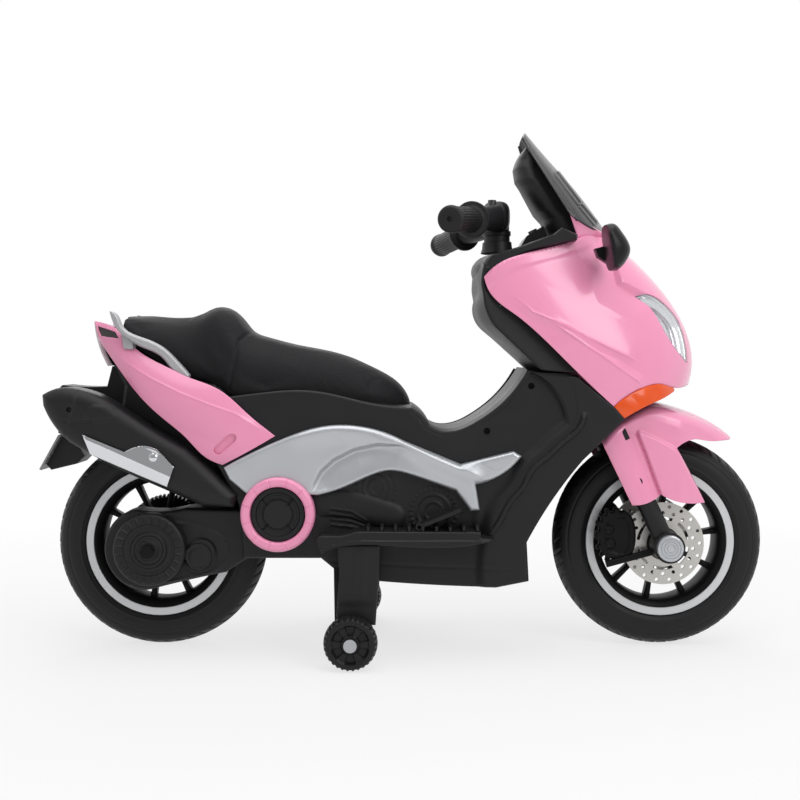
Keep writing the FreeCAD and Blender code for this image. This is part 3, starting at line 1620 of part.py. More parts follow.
def make_battery_tray(hollow):
    x, z = battery_floor()
    length = battery_length + tray_margin * 2
    width = battery_width + tray_margin * 2
    corner = vec(x - length / 2, -width / 2, z - tray_depth + tray_height)
    block = Part.makeBox(length, width, tray_depth, corner)
    pocket = Part.makeBox(battery_length + seat_gap * 2, battery_width + seat_gap * 2, tray_height,
                          vec(x - battery_length / 2 - seat_gap, -battery_width / 2 - seat_gap, z))
    return block.common(hollow).cut(pocket)


def make_battery():
    x, z = battery_floor()
    return Part.makeBox(battery_length, battery_width, battery_height,
                        vec(x - battery_length / 2, -battery_width / 2, z + seat_gap))


def make_control_board():
    x, z = battery_floor()
    return Part.makeBox(board_length, board_width, board_height,
                        vec(x - board_length / 2, -board_width / 2, z + battery_height + seat_gap * 2))


def make_charge_socket():
    x, z = spot(socket_pixel, body_half_width)
    face = body_half_width + seat_gap
    flange = cross_rod(x, z, face, face + socket_flange_height, socket_flange_radius)
    barrel = cross_rod(x, z, face - socket_depth, face, socket_radius)
    bore = cross_rod(x, z, face - socket_depth + socket_wall, face + overrun, socket_radius - socket_wall)
    return flange.fuse(barrel).cut(bore)


def socket_hole():
    x, z = spot(socket_pixel, body_half_width)
    inner_end = body_half_width - plastic_wall - overrun
    return cross_rod(x, z, inner_end, body_half_width + overrun, socket_radius + seat_gap)


def build_parts():
    parts = {}
    grid = fairing_grid()
    fairing_block = skin(grid, inset_grid(grid, block_depth))
    body_outer = body_solid(0)
    body_pair = body_outer.fuse(mirrored(body_outer))
    hollow_half = body_solid(plastic_wall + seat_gap)
    hollow = hollow_half.fuse(mirrored(hollow_half))

    half = make_body_half(body_outer)
    parts["body_half_right"] = half
    parts["body_half_left"] = mirrored(half).cut(socket_hole())
    screws = make_screws()
    parts["body_screws"] = Part.makeCompound(screws + [mirrored(screw) for screw in screws])
    shield = make_leg_shield(fairing_block).cut(body_pair)
    parts["leg_shield"] = shield
    parts["front_fairing"] = make_fairing(grid)
    parts["headlight_lenses"] = make_headlight_lenses(grid)
    parts["headlight_reflectors"] = make_reflectors(grid)
    parts["turn_signals"] = make_signals()

    screen = screen_grid()
    parts["windscreen"] = skin(screen, inset_grid(screen, screen_wall))
    screen_block = skin(inset_grid(screen, screen_wall + seat_gap), inset_grid(screen, -block_depth))
    parts["dash_housing"] = make_dash(screen_block, [shield, fairing_block])
    parts["instrument_panel"] = make_instrument_panel([shield, parts["dash_housing"], fairing_block])
    parts["power_button"] = make_power_button()

    mirror = make_mirror(fairing_block)
    parts["mirrors"] = pair(mirror)
    parts["mirror_glasses"] = pair(make_mirror_glass())

    tail_levels = across(undertail_half_width, undertail_round)
    undertail_outer = pillow(undertail_pixels, undertail_half_width, tail_levels)
    undertail = make_undertail([body_pair, rear_well(0.0)])
    parts["rear_panels"] = make_rear_panels()
    parts["undertail"] = undertail
    lamp = pillow(tail_lamp_pixels, undertail_half_width, across(tail_lamp_half_width, tail_lamp_round))
    parts["tail_lamp"] = lamp.cut(undertail_outer)
    parts["grab_rails"] = make_rails(parts["rear_panels"])
    parts["seat_cushion"] = make_seat(body_outer, [undertail_outer])
    parts["plate_holder"] = make_plate_holder(undertail_outer)
    parts["number_plate"] = plate_block(0.0, plate_wall)
    parts["muffler"] = make_muffler(body_outer)
    parts["muffler_heat_shield"] = make_heat_shield()

    parts["front_tyre"] = make_tyre(front_axle_x)
    parts["front_rim"] = make_rim(front_axle_x, front_hub_half_width, front_hub_half_width)
    parts["brake_discs"] = make_brake_discs()
    mudguard = make_mudguard()
    parts["front_mudguard"] = mudguard
    fork = make_fork(mudguard)
    parts["fork"] = fork
    parts["brake_calipers"] = make_calipers(fork)
    parts["front_axle"] = make_axle(front_axle_x, fork_boss_outer)
    parts["fork_caps"] = make_fork_caps()
    parts["steering_stem"] = make_stem()
    parts["head_tube"] = make_head_tube()
    parts["head_bushes"] = make_bushes()
    parts["handlebar"] = make_handlebar()
    parts["grips"] = make_grips()
    parts["horn_button"] = make_bar_button()
    parts["music_button"] = mirrored(make_bar_button())

    parts["rear_tyre"] = make_tyre(rear_axle_x)
    parts["rear_rim"] = make_rim(rear_axle_x, rear_hub_right, rear_hub_left)
    parts["rear_axle"] = make_axle(rear_axle_x, rear_axle_half())
    parts["axle_nuts"] = make_axle_nuts()
    arms = [make_swing_arm(body_outer, False), mirrored(make_swing_arm(body_outer, True))]
    parts["swing_arms"] = Part.makeCompound(arms)
    parts["drive_covers"] = make_drive_covers()
    parts["wheel_gear"] = make_wheel_gear()
    parts["drive_pinion"] = make_pinion()
    parts["motor"] = make_motor()

    parts["side_trims"] = make_trims()
    parts["engine_rings"] = make_rings()
    parts["engine_caps"] = make_caps()
    parts["footboards"] = Part.makeCompound([make_board(True), mirrored(make_board(False))])
    parts["accelerator_pedal"] = make_pedal()
    wheel = make_side_wheel()
    parts["side_wheel_right"] = wheel
    parts["side_wheel_left"] = mirrored(wheel)
    parts["side_wheel_arms"] = pair(make_side_arm(body_outer))
    parts["side_wheel_bolts"] = make_side_bolts()

    parts["battery_tray"] = make_battery_tray(hollow)
    parts["battery"] = make_battery()
    parts["control_board"] = make_control_board()
    parts["charge_socket"] = make_charge_socket()
    return parts


os.makedirs("parts", exist_ok=True)
for name, shape in build_parts().items():
    shape.exportStep("parts/" + name + ".step")
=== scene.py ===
import bpy
import bmesh
import math
import numpy as np
from mathutils.geometry import delaunay_2d_cdt
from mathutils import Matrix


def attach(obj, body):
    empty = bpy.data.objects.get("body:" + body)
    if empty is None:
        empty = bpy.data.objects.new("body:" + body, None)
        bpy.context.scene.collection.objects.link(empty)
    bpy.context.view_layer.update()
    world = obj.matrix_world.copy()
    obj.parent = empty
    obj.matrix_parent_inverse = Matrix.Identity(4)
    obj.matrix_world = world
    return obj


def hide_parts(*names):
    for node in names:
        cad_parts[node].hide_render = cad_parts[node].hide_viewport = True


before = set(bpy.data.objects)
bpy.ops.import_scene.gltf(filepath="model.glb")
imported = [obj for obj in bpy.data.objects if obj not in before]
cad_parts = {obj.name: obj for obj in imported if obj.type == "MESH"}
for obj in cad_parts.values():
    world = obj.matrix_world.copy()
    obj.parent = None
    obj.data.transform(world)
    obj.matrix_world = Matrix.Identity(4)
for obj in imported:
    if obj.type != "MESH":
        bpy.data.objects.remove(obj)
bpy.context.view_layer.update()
print("frame loaded:", len(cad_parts), "nodes")

# Shapes are worked out in millimetres in the bike's frame and go into the meshes in metres.
# A side-view point is a pixel (u, v) of an 800 x 800 view, read in an upright plane right of the middle.
sight = {"wheelbase": 735.0, "tyreRadius": 155.0, "eyeDistance": 1830.0, "eye": (400.0, 356.0),
         "rearAxle": (164.5, 538.0), "frontAxle": (655.5, 538.0), "tailEnd": (48.0, 466.5)}
mmPerPixel = sight["wheelbase"] / (sight["frontAxle"][0] - sight["rearAxle"][0])
eyeHeight = sight["tyreRadius"] + (sight["rearAxle"][1] - sight["eye"][1]) * mmPerPixel
originX = ((sight["frontAxle"][0] + sight["tailEnd"][0] - 2 * sight["eye"][0]) * mmPerPixel
           + sight["tyreRadius"]) / 2


def place(uv, right):  # eye line through a pixel, cut at the plane that lies right of the middle
    uv = np.asarray(uv, float)
    right = np.asarray(right, float) + np.zeros(uv.shape[:-1])
    scale = mmPerPixel * (1 - right / sight["eyeDistance"])
    x = (uv[..., 0] - sight["eye"][0]) * scale - originX
    z = eyeHeight - (uv[..., 1] - sight["eye"][1]) * scale
    return np.stack([x, -right, z], -1)


frontAxle = place(sight["frontAxle"], 0)
rearAxle = place(sight["rearAxle"], 0)
columnTop = place((497.0, 245.0), 0)


# Curves
def spline(points, share, even=False):
    # Cubic through the points, equal slope and bend at each; knots by chord length or evenly spaced,
    # end slopes from the parabola through the three outermost points.
    p = np.asarray(points, float)
    share = np.asarray(share, float)
    if p.ndim == 1:
        p = p[:, None]
    step = np.full(len(p) - 1, 1.0) if even else np.linalg.norm(np.diff(p, axis=0), axis=1)
    knots = np.concatenate([[0], np.cumsum(step)])
    chord = np.diff(p, axis=0) / step[:, None]
    if len(p) == 2:
        return p[0] + (p[1] - p[0]) * share[..., None]
    n = len(p)
    system = np.zeros((n, n))
    wanted = np.zeros_like(p)
    system[0, 0] = system[-1, -1] = 1
    wanted[0] = chord[0] + (chord[0] - chord[1]) * step[0] / (step[0] + step[1])
    wanted[-1] = chord[-1] + (chord[-1] - chord[-2]) * step[-1] / (step[-1] + step[-2])
    inner = np.arange(1, n - 1)
    system[inner, inner - 1] = step[1:]
    system[inner, inner] = 2 * (step[1:] + step[:-1])
    system[inner, inner + 1] = step[:-1]
    wanted[1:-1] = 3 * (step[1:, None] * chord[:-1] + step[:-1, None] * chord[1:])
    slope = np.linalg.solve(system, wanted)
    x = np.clip(share, 0, 1) * knots[-1]
    k = np.clip(np.searchsorted(knots, x, side="right") - 1, 0, n - 2)
    t = ((x - knots[k]) / step[k])[..., None]
    h = step[k][..., None]
    return ((1 + 2 * t) * (1 - t) ** 2 * p[k] + t * (1 - t) ** 2 * h * slope[k]
            + t ** 2 * (3 - 2 * t) * p[k + 1] + t ** 2 * (t - 1) * h * slope[k + 1])


def profileThrough(values, share):  # smooth value along 0 to 1, the given ones evenly spaced
    return spline(values, share, even=True)[..., 0]


def loopThrough(runs, step=0.8):
    # Closed outline of pixels: a run of one point is a straight edge, a longer run a smooth one.
    last = runs[-1][-1]
    pieces = []
    for run in runs:
        points = np.array([last] + list(run), float)
        length = np.linalg.norm(np.diff(points, axis=0), axis=1).sum()
        count = max(2, int(length / step))
        pieces.append(spline(points, np.arange(count) / count))
        last = run[-1]
    return np.concatenate(pieces)


def fourSided(bottom, top, start, end, s, t):
    # Place inside four border lines: the two pairs of sides blended, less the blend of the corners.
    s = np.asarray(s, float)[..., None]
    t = np.asarray(t, float)[..., None]
    sides = ((1 - t) * spline(start, s[..., 0]) + t * spline(end, s[..., 0])
             + (1 - s) * spline(bottom, t[..., 0]) + s * spline(top, t[..., 0]))
    corners = [np.asarray(c, float) for c in (bottom[0], bottom[-1], top[0], top[-1])]
    low = (1 - t) * corners[0] + t * corners[1]
    high = (1 - t) * corners[2] + t * corners[3]
    return sides - (1 - s) * low - s * high


def besideLine(line, offsets, step=1.2):  # rows of pixels along a line at the given distances from it
    length = np.linalg.norm(np.diff(line, axis=0), axis=1).sum()
    points = spline(line, np.linspace(0, 1, max(8, int(length / step))))
    along = np.gradient(points, axis=0)
    across = np.stack([-along[:, 1], along[:, 0]], -1) / np.linalg.norm(along, axis=1, keepdims=True)
    return np.concatenate([points + across * off for off in offsets])


def rounds(centre, radii, count=28):  # rings of pixels round a centre
    a = turns(count)
    return np.concatenate([np.array(centre) + r * np.stack([np.cos(a), np.sin(a)], -1) for r in radii])


def lineDistance(uv, line):
    # Distance to an open line of pixels, its sign by the side, and the share of the way along it.
    a = np.asarray(line[:-1], float)
    e = np.diff(np.asarray(line, float), axis=0)
    length = np.linalg.norm(e, axis=1)
    rel = uv[..., None, :] - a
    t = np.clip((rel * e).sum(-1) / length ** 2, 0, 1)
    gap = rel - t[..., None] * e
    far = np.linalg.norm(gap, axis=-1)
    near = far.argmin(-1)[..., None]
    side = np.sign(e[:, 0] * gap[..., 1] - e[:, 1] * gap[..., 0])
    along = (np.concatenate([[0], np.cumsum(length)[:-1]]) + t * length) / length.sum()
    pick = lambda values: np.take_along_axis(values, near, -1)[..., 0]
    return pick(far) * pick(side), pick(along)


def smooth(low, high, x):  # eased step from 0 to 1
    t = np.clip((x - low) / (high - low), 0, 1)
    return t * t * (3 - 2 * t)


def fading(along, start, end):  # eased in up to start and out from end of the way along a line
    return smooth(0, start, along) * smooth(1, end, along)


def hill(x, reach, power=2):  # 1 at 0, bell-shaped, flatter on top with a higher even power
    return np.exp(-(x / reach) ** power)


def tent(x, reach):  # 1 at 0, falling straight to 0 at reach
    return np.clip(1 - np.abs(x) / reach, 0, 1)


def squared(x, share):  # sine or cosine of a superellipse: size to the power of share, sign kept
    return np.sign(x) * np.abs(x) ** share


def turns(count):  # even angles round a full turn
    return np.linspace(0, 2 * np.pi, count, endpoint=False)


def teeth(angle, count):  # place between two of count marks round a turn, -0.5 to 0.5 and 0 half-way
    return (angle * count / (2 * np.pi)) % 1 - 0.5


def everyPair(first, second):  # two arrays that run over every pair of the given values
    return np.meshgrid(first, second, indexing="ij")


def shareBorder(low, count):  # border of the ranges 0 to 1 and low to 1, points evenly along each side
    e = np.linspace(0, 1, count, endpoint=False)
    t = low + (1 - low) * e
    return np.concatenate([np.stack([0 * e, t], -1), np.stack([e, 1 + 0 * e], -1),
                           np.stack([1 + 0 * e, 1 + low - t], -1), np.stack([1 - e, low + 0 * e], -1)])


def sharesAt(pixelAt, uv, margin, limit):
    # Finds the two shares that pixelAt shows at each pixel: nearest of a grid, then Newton steps.
    uv = np.asarray(uv, float)
    shares = np.stack(everyPair(np.linspace(margin, 1 - margin, 70), np.linspace(margin, 1 - margin, 140)),
                      -1)
    shares = shares.reshape(-1, 2)
    seen = pixelAt(shares[:, 0], shares[:, 1])
    guess = shares[((uv[:, None] - seen) ** 2).sum(-1).argmin(1)]
    e = 1e-4
    for _ in range(12):
        s, t = guess.T
        miss = uv - pixelAt(s, t)
        ds = (pixelAt(s + e, t) - pixelAt(s - e, t)) / (2 * e)
        dt = (pixelAt(s, t + e) - pixelAt(s, t - e)) / (2 * e)
        det = ds[:, 0] * dt[:, 1] - ds[:, 1] * dt[:, 0]
        det = np.where(np.abs(det) < 1e-6, 1e-6, det)
        step = np.stack([(miss[:, 0] * dt[:, 1] - miss[:, 1] * dt[:, 0]) / det,
                         (miss[:, 1] * ds[:, 0] - miss[:, 0] * ds[:, 1]) / det], -1)
        guess = np.clip(guess + np.clip(step, -0.05, 0.05), limit, 1 - limit)
    return guess


# Patches are (points, faces); faces is a list of index arrays with three or four columns.
def gridPatch(points, closeColumns=False):
    rows, columns = points.shape[:2]
    index = np.arange(rows * columns).reshape(rows, columns)
    if closeColumns:
        index = np.concatenate([index, index[:, :1]], 1)
    quads = np.stack([index[:-1, :-1], index[:-1, 1:], index[1:, 1:], index[1:, :-1]], -1)
    return points.reshape(-1, 3), [quads.reshape(-1, 4)]


def joined(patches):
    points, faces, start = [], [], 0
    for p, f in patches:
        points.append(p)
        faces += [part + start for part in f]
        start += len(p)
    return np.concatenate(points), faces


def mirrored(patch):  # the other side of the bike, faces turned so that they still look outwards
    return patch[0] * [1, -1, 1], [f[:, ::-1] for f in patch[1]]


def bothSides(patch):
    return joined([patch, mirrored(patch)])


def facing(patch, out):  # turns the faces round if most of them look away from out
    p = patch[0]
    total = sum(np.cross(p[f[:, 1]] - p[f[:, 0]], p[f[:, 2]] - p[f[:, 0]]).sum(0) for f in patch[1])
    return patch if total @ np.asarray(out, float) > 0 else (p, [f[:, ::-1] for f in patch[1]])


def insideLoop(points, loop):  # even number of crossings to the right means outside
    a, b = loop, np.roll(loop, -1, 0)
    x, y = points[:, :1], points[:, 1:2]
    rise = np.where(a[:, 1] == b[:, 1], 1.0, b[:, 1] - a[:, 1])
    at = a[:, 0] + (y - a[:, 1]) * (b[:, 0] - a[:, 0]) / rise
    return (((a[:, 1] > y) != (b[:, 1] > y)) & (x < at)).sum(1) % 2 == 1


def edgeDistance(points, loops):
    least = np.full(len(points), np.inf)
    for loop in loops:
        edge = np.roll(loop, -1, 0) - loop
        size = np.maximum((edge ** 2).sum(-1), 1e-12)
        for part in np.array_split(np.arange(len(points)), 1 + len(points) * len(loop) // 2000000):
            rel = points[part, None] - loop
            t = np.clip((rel * edge).sum(-1) / size, 0, 1)
            gap = rel - t[..., None] * edge
            least[part] = np.minimum(least[part], np.sqrt((gap ** 2).sum(-1).min(1)))
    return least


def filled(loops, step, rims=(0.4, 1.1, 2.2), extra=None):
    # The first outline less the others, filled with a lattice of points, rows of them along the edges and
    # any extra.
    low, high = loops[0].min(0), loops[0].max(0)
    rows = np.arange(low[1], high[1], step * 0.87)
    columns = np.arange(low[0], high[0], step)
    lattice = np.stack(np.meshgrid(columns, rows), -1)
    lattice[1::2, :, 0] += step / 2
    free = lattice.reshape(-1, 2)
    clear = max([step * 0.6] + [r * 1.3 for r in rims])
    sets = [free[insideLoop(free, loops[0]) & (edgeDistance(free, loops) > clear)]]
    for rim in rims:
        for loop in loops:
            along = np.roll(loop, -1, 0) - np.roll(loop, 1, 0)
            across = np.stack([-along[:, 1], along[:, 0]], -1) / np.linalg.norm(along, axis=1, keepdims=True)
            for way in (rim, -rim):
                moved = loop + across * way
                sets.append(moved[insideLoop(moved, loops[0]) & (edgeDistance(moved, loops) > rim * 0.9)])
    if extra is not None:
        sets.append(extra[insideLoop(extra, loops[0]) & (edgeDistance(extra, loops) > 0.8)])
    free = np.concatenate(sets)
    for hole in loops[1:]:
        free = free[~insideLoop(free, hole)]
    borders, start = [], 0
    for loop in loops:
        borders += [(start + i, start + (i + 1) % len(loop)) for i in range(len(loop))]
        start += len(loop)
    points = np.concatenate(loops + [free])
    result = delaunay_2d_cdt([tuple(p) for p in points], borders, [], 0, 1e-7)
    points = np.array([tuple(p) for p in result[0]])
    triangles = np.array([f for f in result[2] if len(f) == 3])
    middle = points[triangles].mean(1)
    inside = insideLoop(middle, loops[0])
    for hole in loops[1:]:
        inside &= ~insideLoop(middle, hole)
    return points, triangles[inside]


def rounding(d, radius):  # 1 on the flat, falling to 0 at the edge along a quarter circle
    return np.sqrt(np.clip(1 - (1 - np.clip(d / radius, 0, 1)) ** 2, 0, 1))


def panelPatch(runs, right, back, step=2.0, rims=(0.4, 1.1, 2.2), readAt=None, extra=None):
    # Closed piece: a front face over the outline, at right(uv, edge distance in mm), a wall and a flat back.
    loop = loopThrough(runs)
    uv, triangles = filled([loop], step, rims, extra)
    scale = mmPerPixel * (1 - (readAt or back) / sight["eyeDistance"])
    height = right(uv, edgeDistance(uv, [loop]) * scale)

    def atHeight(pixels, seenAt, shownAt):  # placed in the plane they were read in, then moved across
        points = place(pixels, readAt or seenAt)
        points[:, 1] = -shownAt
        return points

    edgeHeight = right(loop, np.zeros(len(loop)))
    wall = np.stack([atHeight(loop, edgeHeight, edgeHeight), atHeight(loop, edgeHeight, back)])
    flat, flatTriangles = filled([loop], 1e6, rims=())
    rear = atHeight(flat, right(flat, np.zeros(len(flat))), back)
    return joined([(atHeight(uv, height, height), [triangles]), gridPatch(wall, closeColumns=True),
                   (rear, [flatTriangles])])


def turnedPatch(profile, centre, steps=128):
    # Profile of (radius, right) carried round the cross axis through centre.
    profile = np.asarray(profile, float)
    angle = turns(steps)
    radius = profile[:, :1]
    points = np.stack([centre[0] + radius * np.cos(angle), -profile[:, 1:] + 0 * angle,
                       centre[2] + radius * np.sin(angle)], -1)
    return gridPatch(points, closeColumns=True)


def sweptPatch(path, radius, sides=32, squash=(1.0, 1.0), power=2.0):
    # Superellipse carried along a path, square to it; radius is one value per place, both ends closed.
    path = np.asarray(path, float)
    tangent = np.gradient(path, axis=0)
    tangent /= np.linalg.norm(tangent, axis=1, keepdims=True)
    side = np.cross(tangent, (0, 0, 1))
    side /= np.linalg.norm(side, axis=1, keepdims=True)
    up = np.cross(side, tangent)
    angle = turns(sides)
    ring = (side[:, None] * squared(np.cos(angle), 2 / power)[:, None] * squash[0]
            + up[:, None] * squared(np.sin(angle), 2 / power)[:, None] * squash[1])
    points = path[:, None] + ring * np.asarray(radius, float)[:, None, None]
    ends = [np.repeat(path[None, k:k + 1], sides, 1) for k in (0, len(path) - 1)]
    return gridPatch(np.concatenate([ends[0], points, ends[1]]), closeColumns=True)


def turnedRod(start, heading, profile, steps=72, ribs=0, ribDepth=0.0, ribSpan=(0.0, 0.0)):
    # Profile of (distance, radius) carried round a line; ribs run along it inside ribSpan as a cosine.
    start, heading = np.asarray(start, float), np.asarray(heading, float)
    heading = heading / np.linalg.norm(heading)
    side = np.cross(heading, (0.31, 0.17, 0.94))
    side /= np.linalg.norm(side)
    up = np.cross(heading, side)
    angle = turns(steps)
    along, radius = np.asarray(profile, float).T
    inside = (along > ribSpan[0]) & (along < ribSpan[1])
    radius = radius[:, None] + ribDepth * np.cos(ribs * angle) * inside[:, None]
    ring = side * np.cos(angle)[:, None] + up * np.sin(angle)[:, None]
    return gridPatch(start + heading * along[:, None, None] + ring * radius[..., None], closeColumns=True)


def pillowPatch(runs, levels, readAt, shift=None, step=1.0):
    # Outline carried across the bike; each level is (right, inset in mm), shift moves its pixels; ends
    # closed.
    loop = loopThrough(runs, step)
    along = np.roll(loop, -1, 0) - np.roll(loop, 1, 0)
    inward = np.stack([-along[:, 1], along[:, 0]], -1) / np.linalg.norm(along, axis=1, keepdims=True)
    area = (loop[:, 0] * np.roll(loop[:, 1], -1) - np.roll(loop[:, 0], -1) * loop[:, 1]).sum()
    scale = mmPerPixel * (1 - readAt / sight["eyeDistance"])
    rings, patches = [], []
    for index, (right, inset) in enumerate(levels):
        uv = loop + inward * np.sign(area) * inset / scale
        uv = uv + shift(uv, right) if shift else uv
        ring = place(uv, readAt)
        ring[:, 1] = -right
        rings.append(ring)
        if index in (0, len(levels) - 1):
            flat, triangles = filled([uv], 1e6, ())
            face = place(flat, readAt)
            face[:, 1] = -right
            patches.append((face, [triangles]))
    return joined([gridPatch(np.stack(rings), closeColumns=True)] + patches)


def makePiece(name, patch, finishName, body, stands=(), merge=True, sharp=38, wall=0.0):
    points, faces = patch
    mesh = bpy.data.meshes.new(name)
    corners = np.concatenate([f.ravel() for f in faces])
    sizes = np.concatenate([np.full(len(f), f.shape[1]) for f in faces])
    mesh.vertices.add(len(points))
    mesh.vertices.foreach_set("co", (points * 0.001).astype(np.float32).ravel())
    mesh.loops.add(len(corners))
    mesh.loops.foreach_set("vertex_index", corners.astype(np.int32))
    mesh.polygons.add(len(sizes))
    mesh.polygons.foreach_set("loop_start", np.concatenate([[0], np.cumsum(sizes)[:-1]]).astype(np.int32))
    mesh.update(calc_edges=True)
    mesh.validate()
    if merge:
        work = bmesh.new()
        work.from_mesh(mesh)
        bmesh.ops.remove_doubles(work, verts=work.verts, dist=2e-6)
        bmesh.ops.recalc_face_normals(work, faces=work.faces)
        work.to_mesh(mesh)
        work.free()
    mesh.polygons.foreach_set("use_smooth", np.ones(len(mesh.polygons), bool))
    mesh.set_sharp_from_angle(angle=math.radians(sharp))
    mesh.materials.append(finish[finishName])
    thing = bpy.data.objects.new(name, mesh)
    bpy.context.scene.collection.objects.link(thing)
    if wall:
        thick = thing.modifiers.new("wall", "SOLIDIFY")
        thick.thickness = wall * 0.001
        thick.offset = -1
    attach(thing, body)
    if stands:
        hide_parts(*stands)
    return thing


# Finishes
def linear(code):  # sRGB hex to linear light
    c = np.array([int(code[i:i + 2], 16) for i in (1, 3, 5)]) / 255
    return (*np.where(c <= 0.04045, c / 12.92, ((c + 0.055) / 1.055) ** 2.4).tolist(), 1.0)


def add(tree, kind, inputs=None, **settings):  # one node with its settings; inputs are values or sockets
    made = tree.nodes.new(kind)
    for key, value in settings.items():
        setattr(made, key, value)
    for key, value in (inputs or {}).items():
        if isinstance(value, bpy.types.NodeSocket):
            tree.links.new(value, made.inputs[key])
        else:
            made.inputs[key].default_value = value
    return made


def makeFinish(name, values):
    # Two close colours mottled over "mottle" mm, roughness drifting with them, and a bump of "grain" mm.
    made = bpy.data.materials.new(name)
    made.use_nodes = True
    tree = made.node_tree
    shader = tree.nodes["Principled BSDF"]
    where = add(tree, "ShaderNodeTexCoord").outputs["Object"]
    drift = add(tree, "ShaderNodeTexNoise",
                {"Vector": where, "Scale": 1000 / values["mottle"], "Detail": 3.0})
    tint = add(tree, "ShaderNodeMix", {"Factor": drift.outputs["Fac"]}, data_type="RGBA")
    for socket, colour in zip([s for s in tint.inputs if s.type == "RGBA"], values["colours"]):
        socket.default_value = linear(colour)
    tree.links.new([s for s in tint.outputs if s.type == "RGBA"][0], shader.inputs["Base Color"])
    grainAt = add(tree, "ShaderNodeMapping",
                  {"Vector": where, "Scale": values.get("stretch", (1, 1, 1))}).outputs[0]
    kind = "ShaderNodeTexVoronoi" if values.get("cells") else "ShaderNodeTexNoise"
    grain = add(tree, kind, {"Vector": grainAt, "Scale": 1000 / values["grain"]})
    height = grain.outputs["Distance" if values.get("cells") else "Fac"]
    wear = add(tree, "ShaderNodeMapRange", {"Value": drift.outputs["Fac"], "From Min": 0.3, "From Max": 0.7,
                                            "To Min": values["rough"][0], "To Max": values["rough"][1]})
    tree.links.new(wear.outputs["Result"], shader.inputs["Roughness"])
    bump = add(tree, "ShaderNodeBump", {"Height": height, "Strength": values["bump"], "Distance": 0.001})
    tree.links.new(bump.outputs["Normal"], shader.inputs["Normal"])
    for key, value in values.get("sockets", {}).items():
        shader.inputs[key].default_value = value
    return made


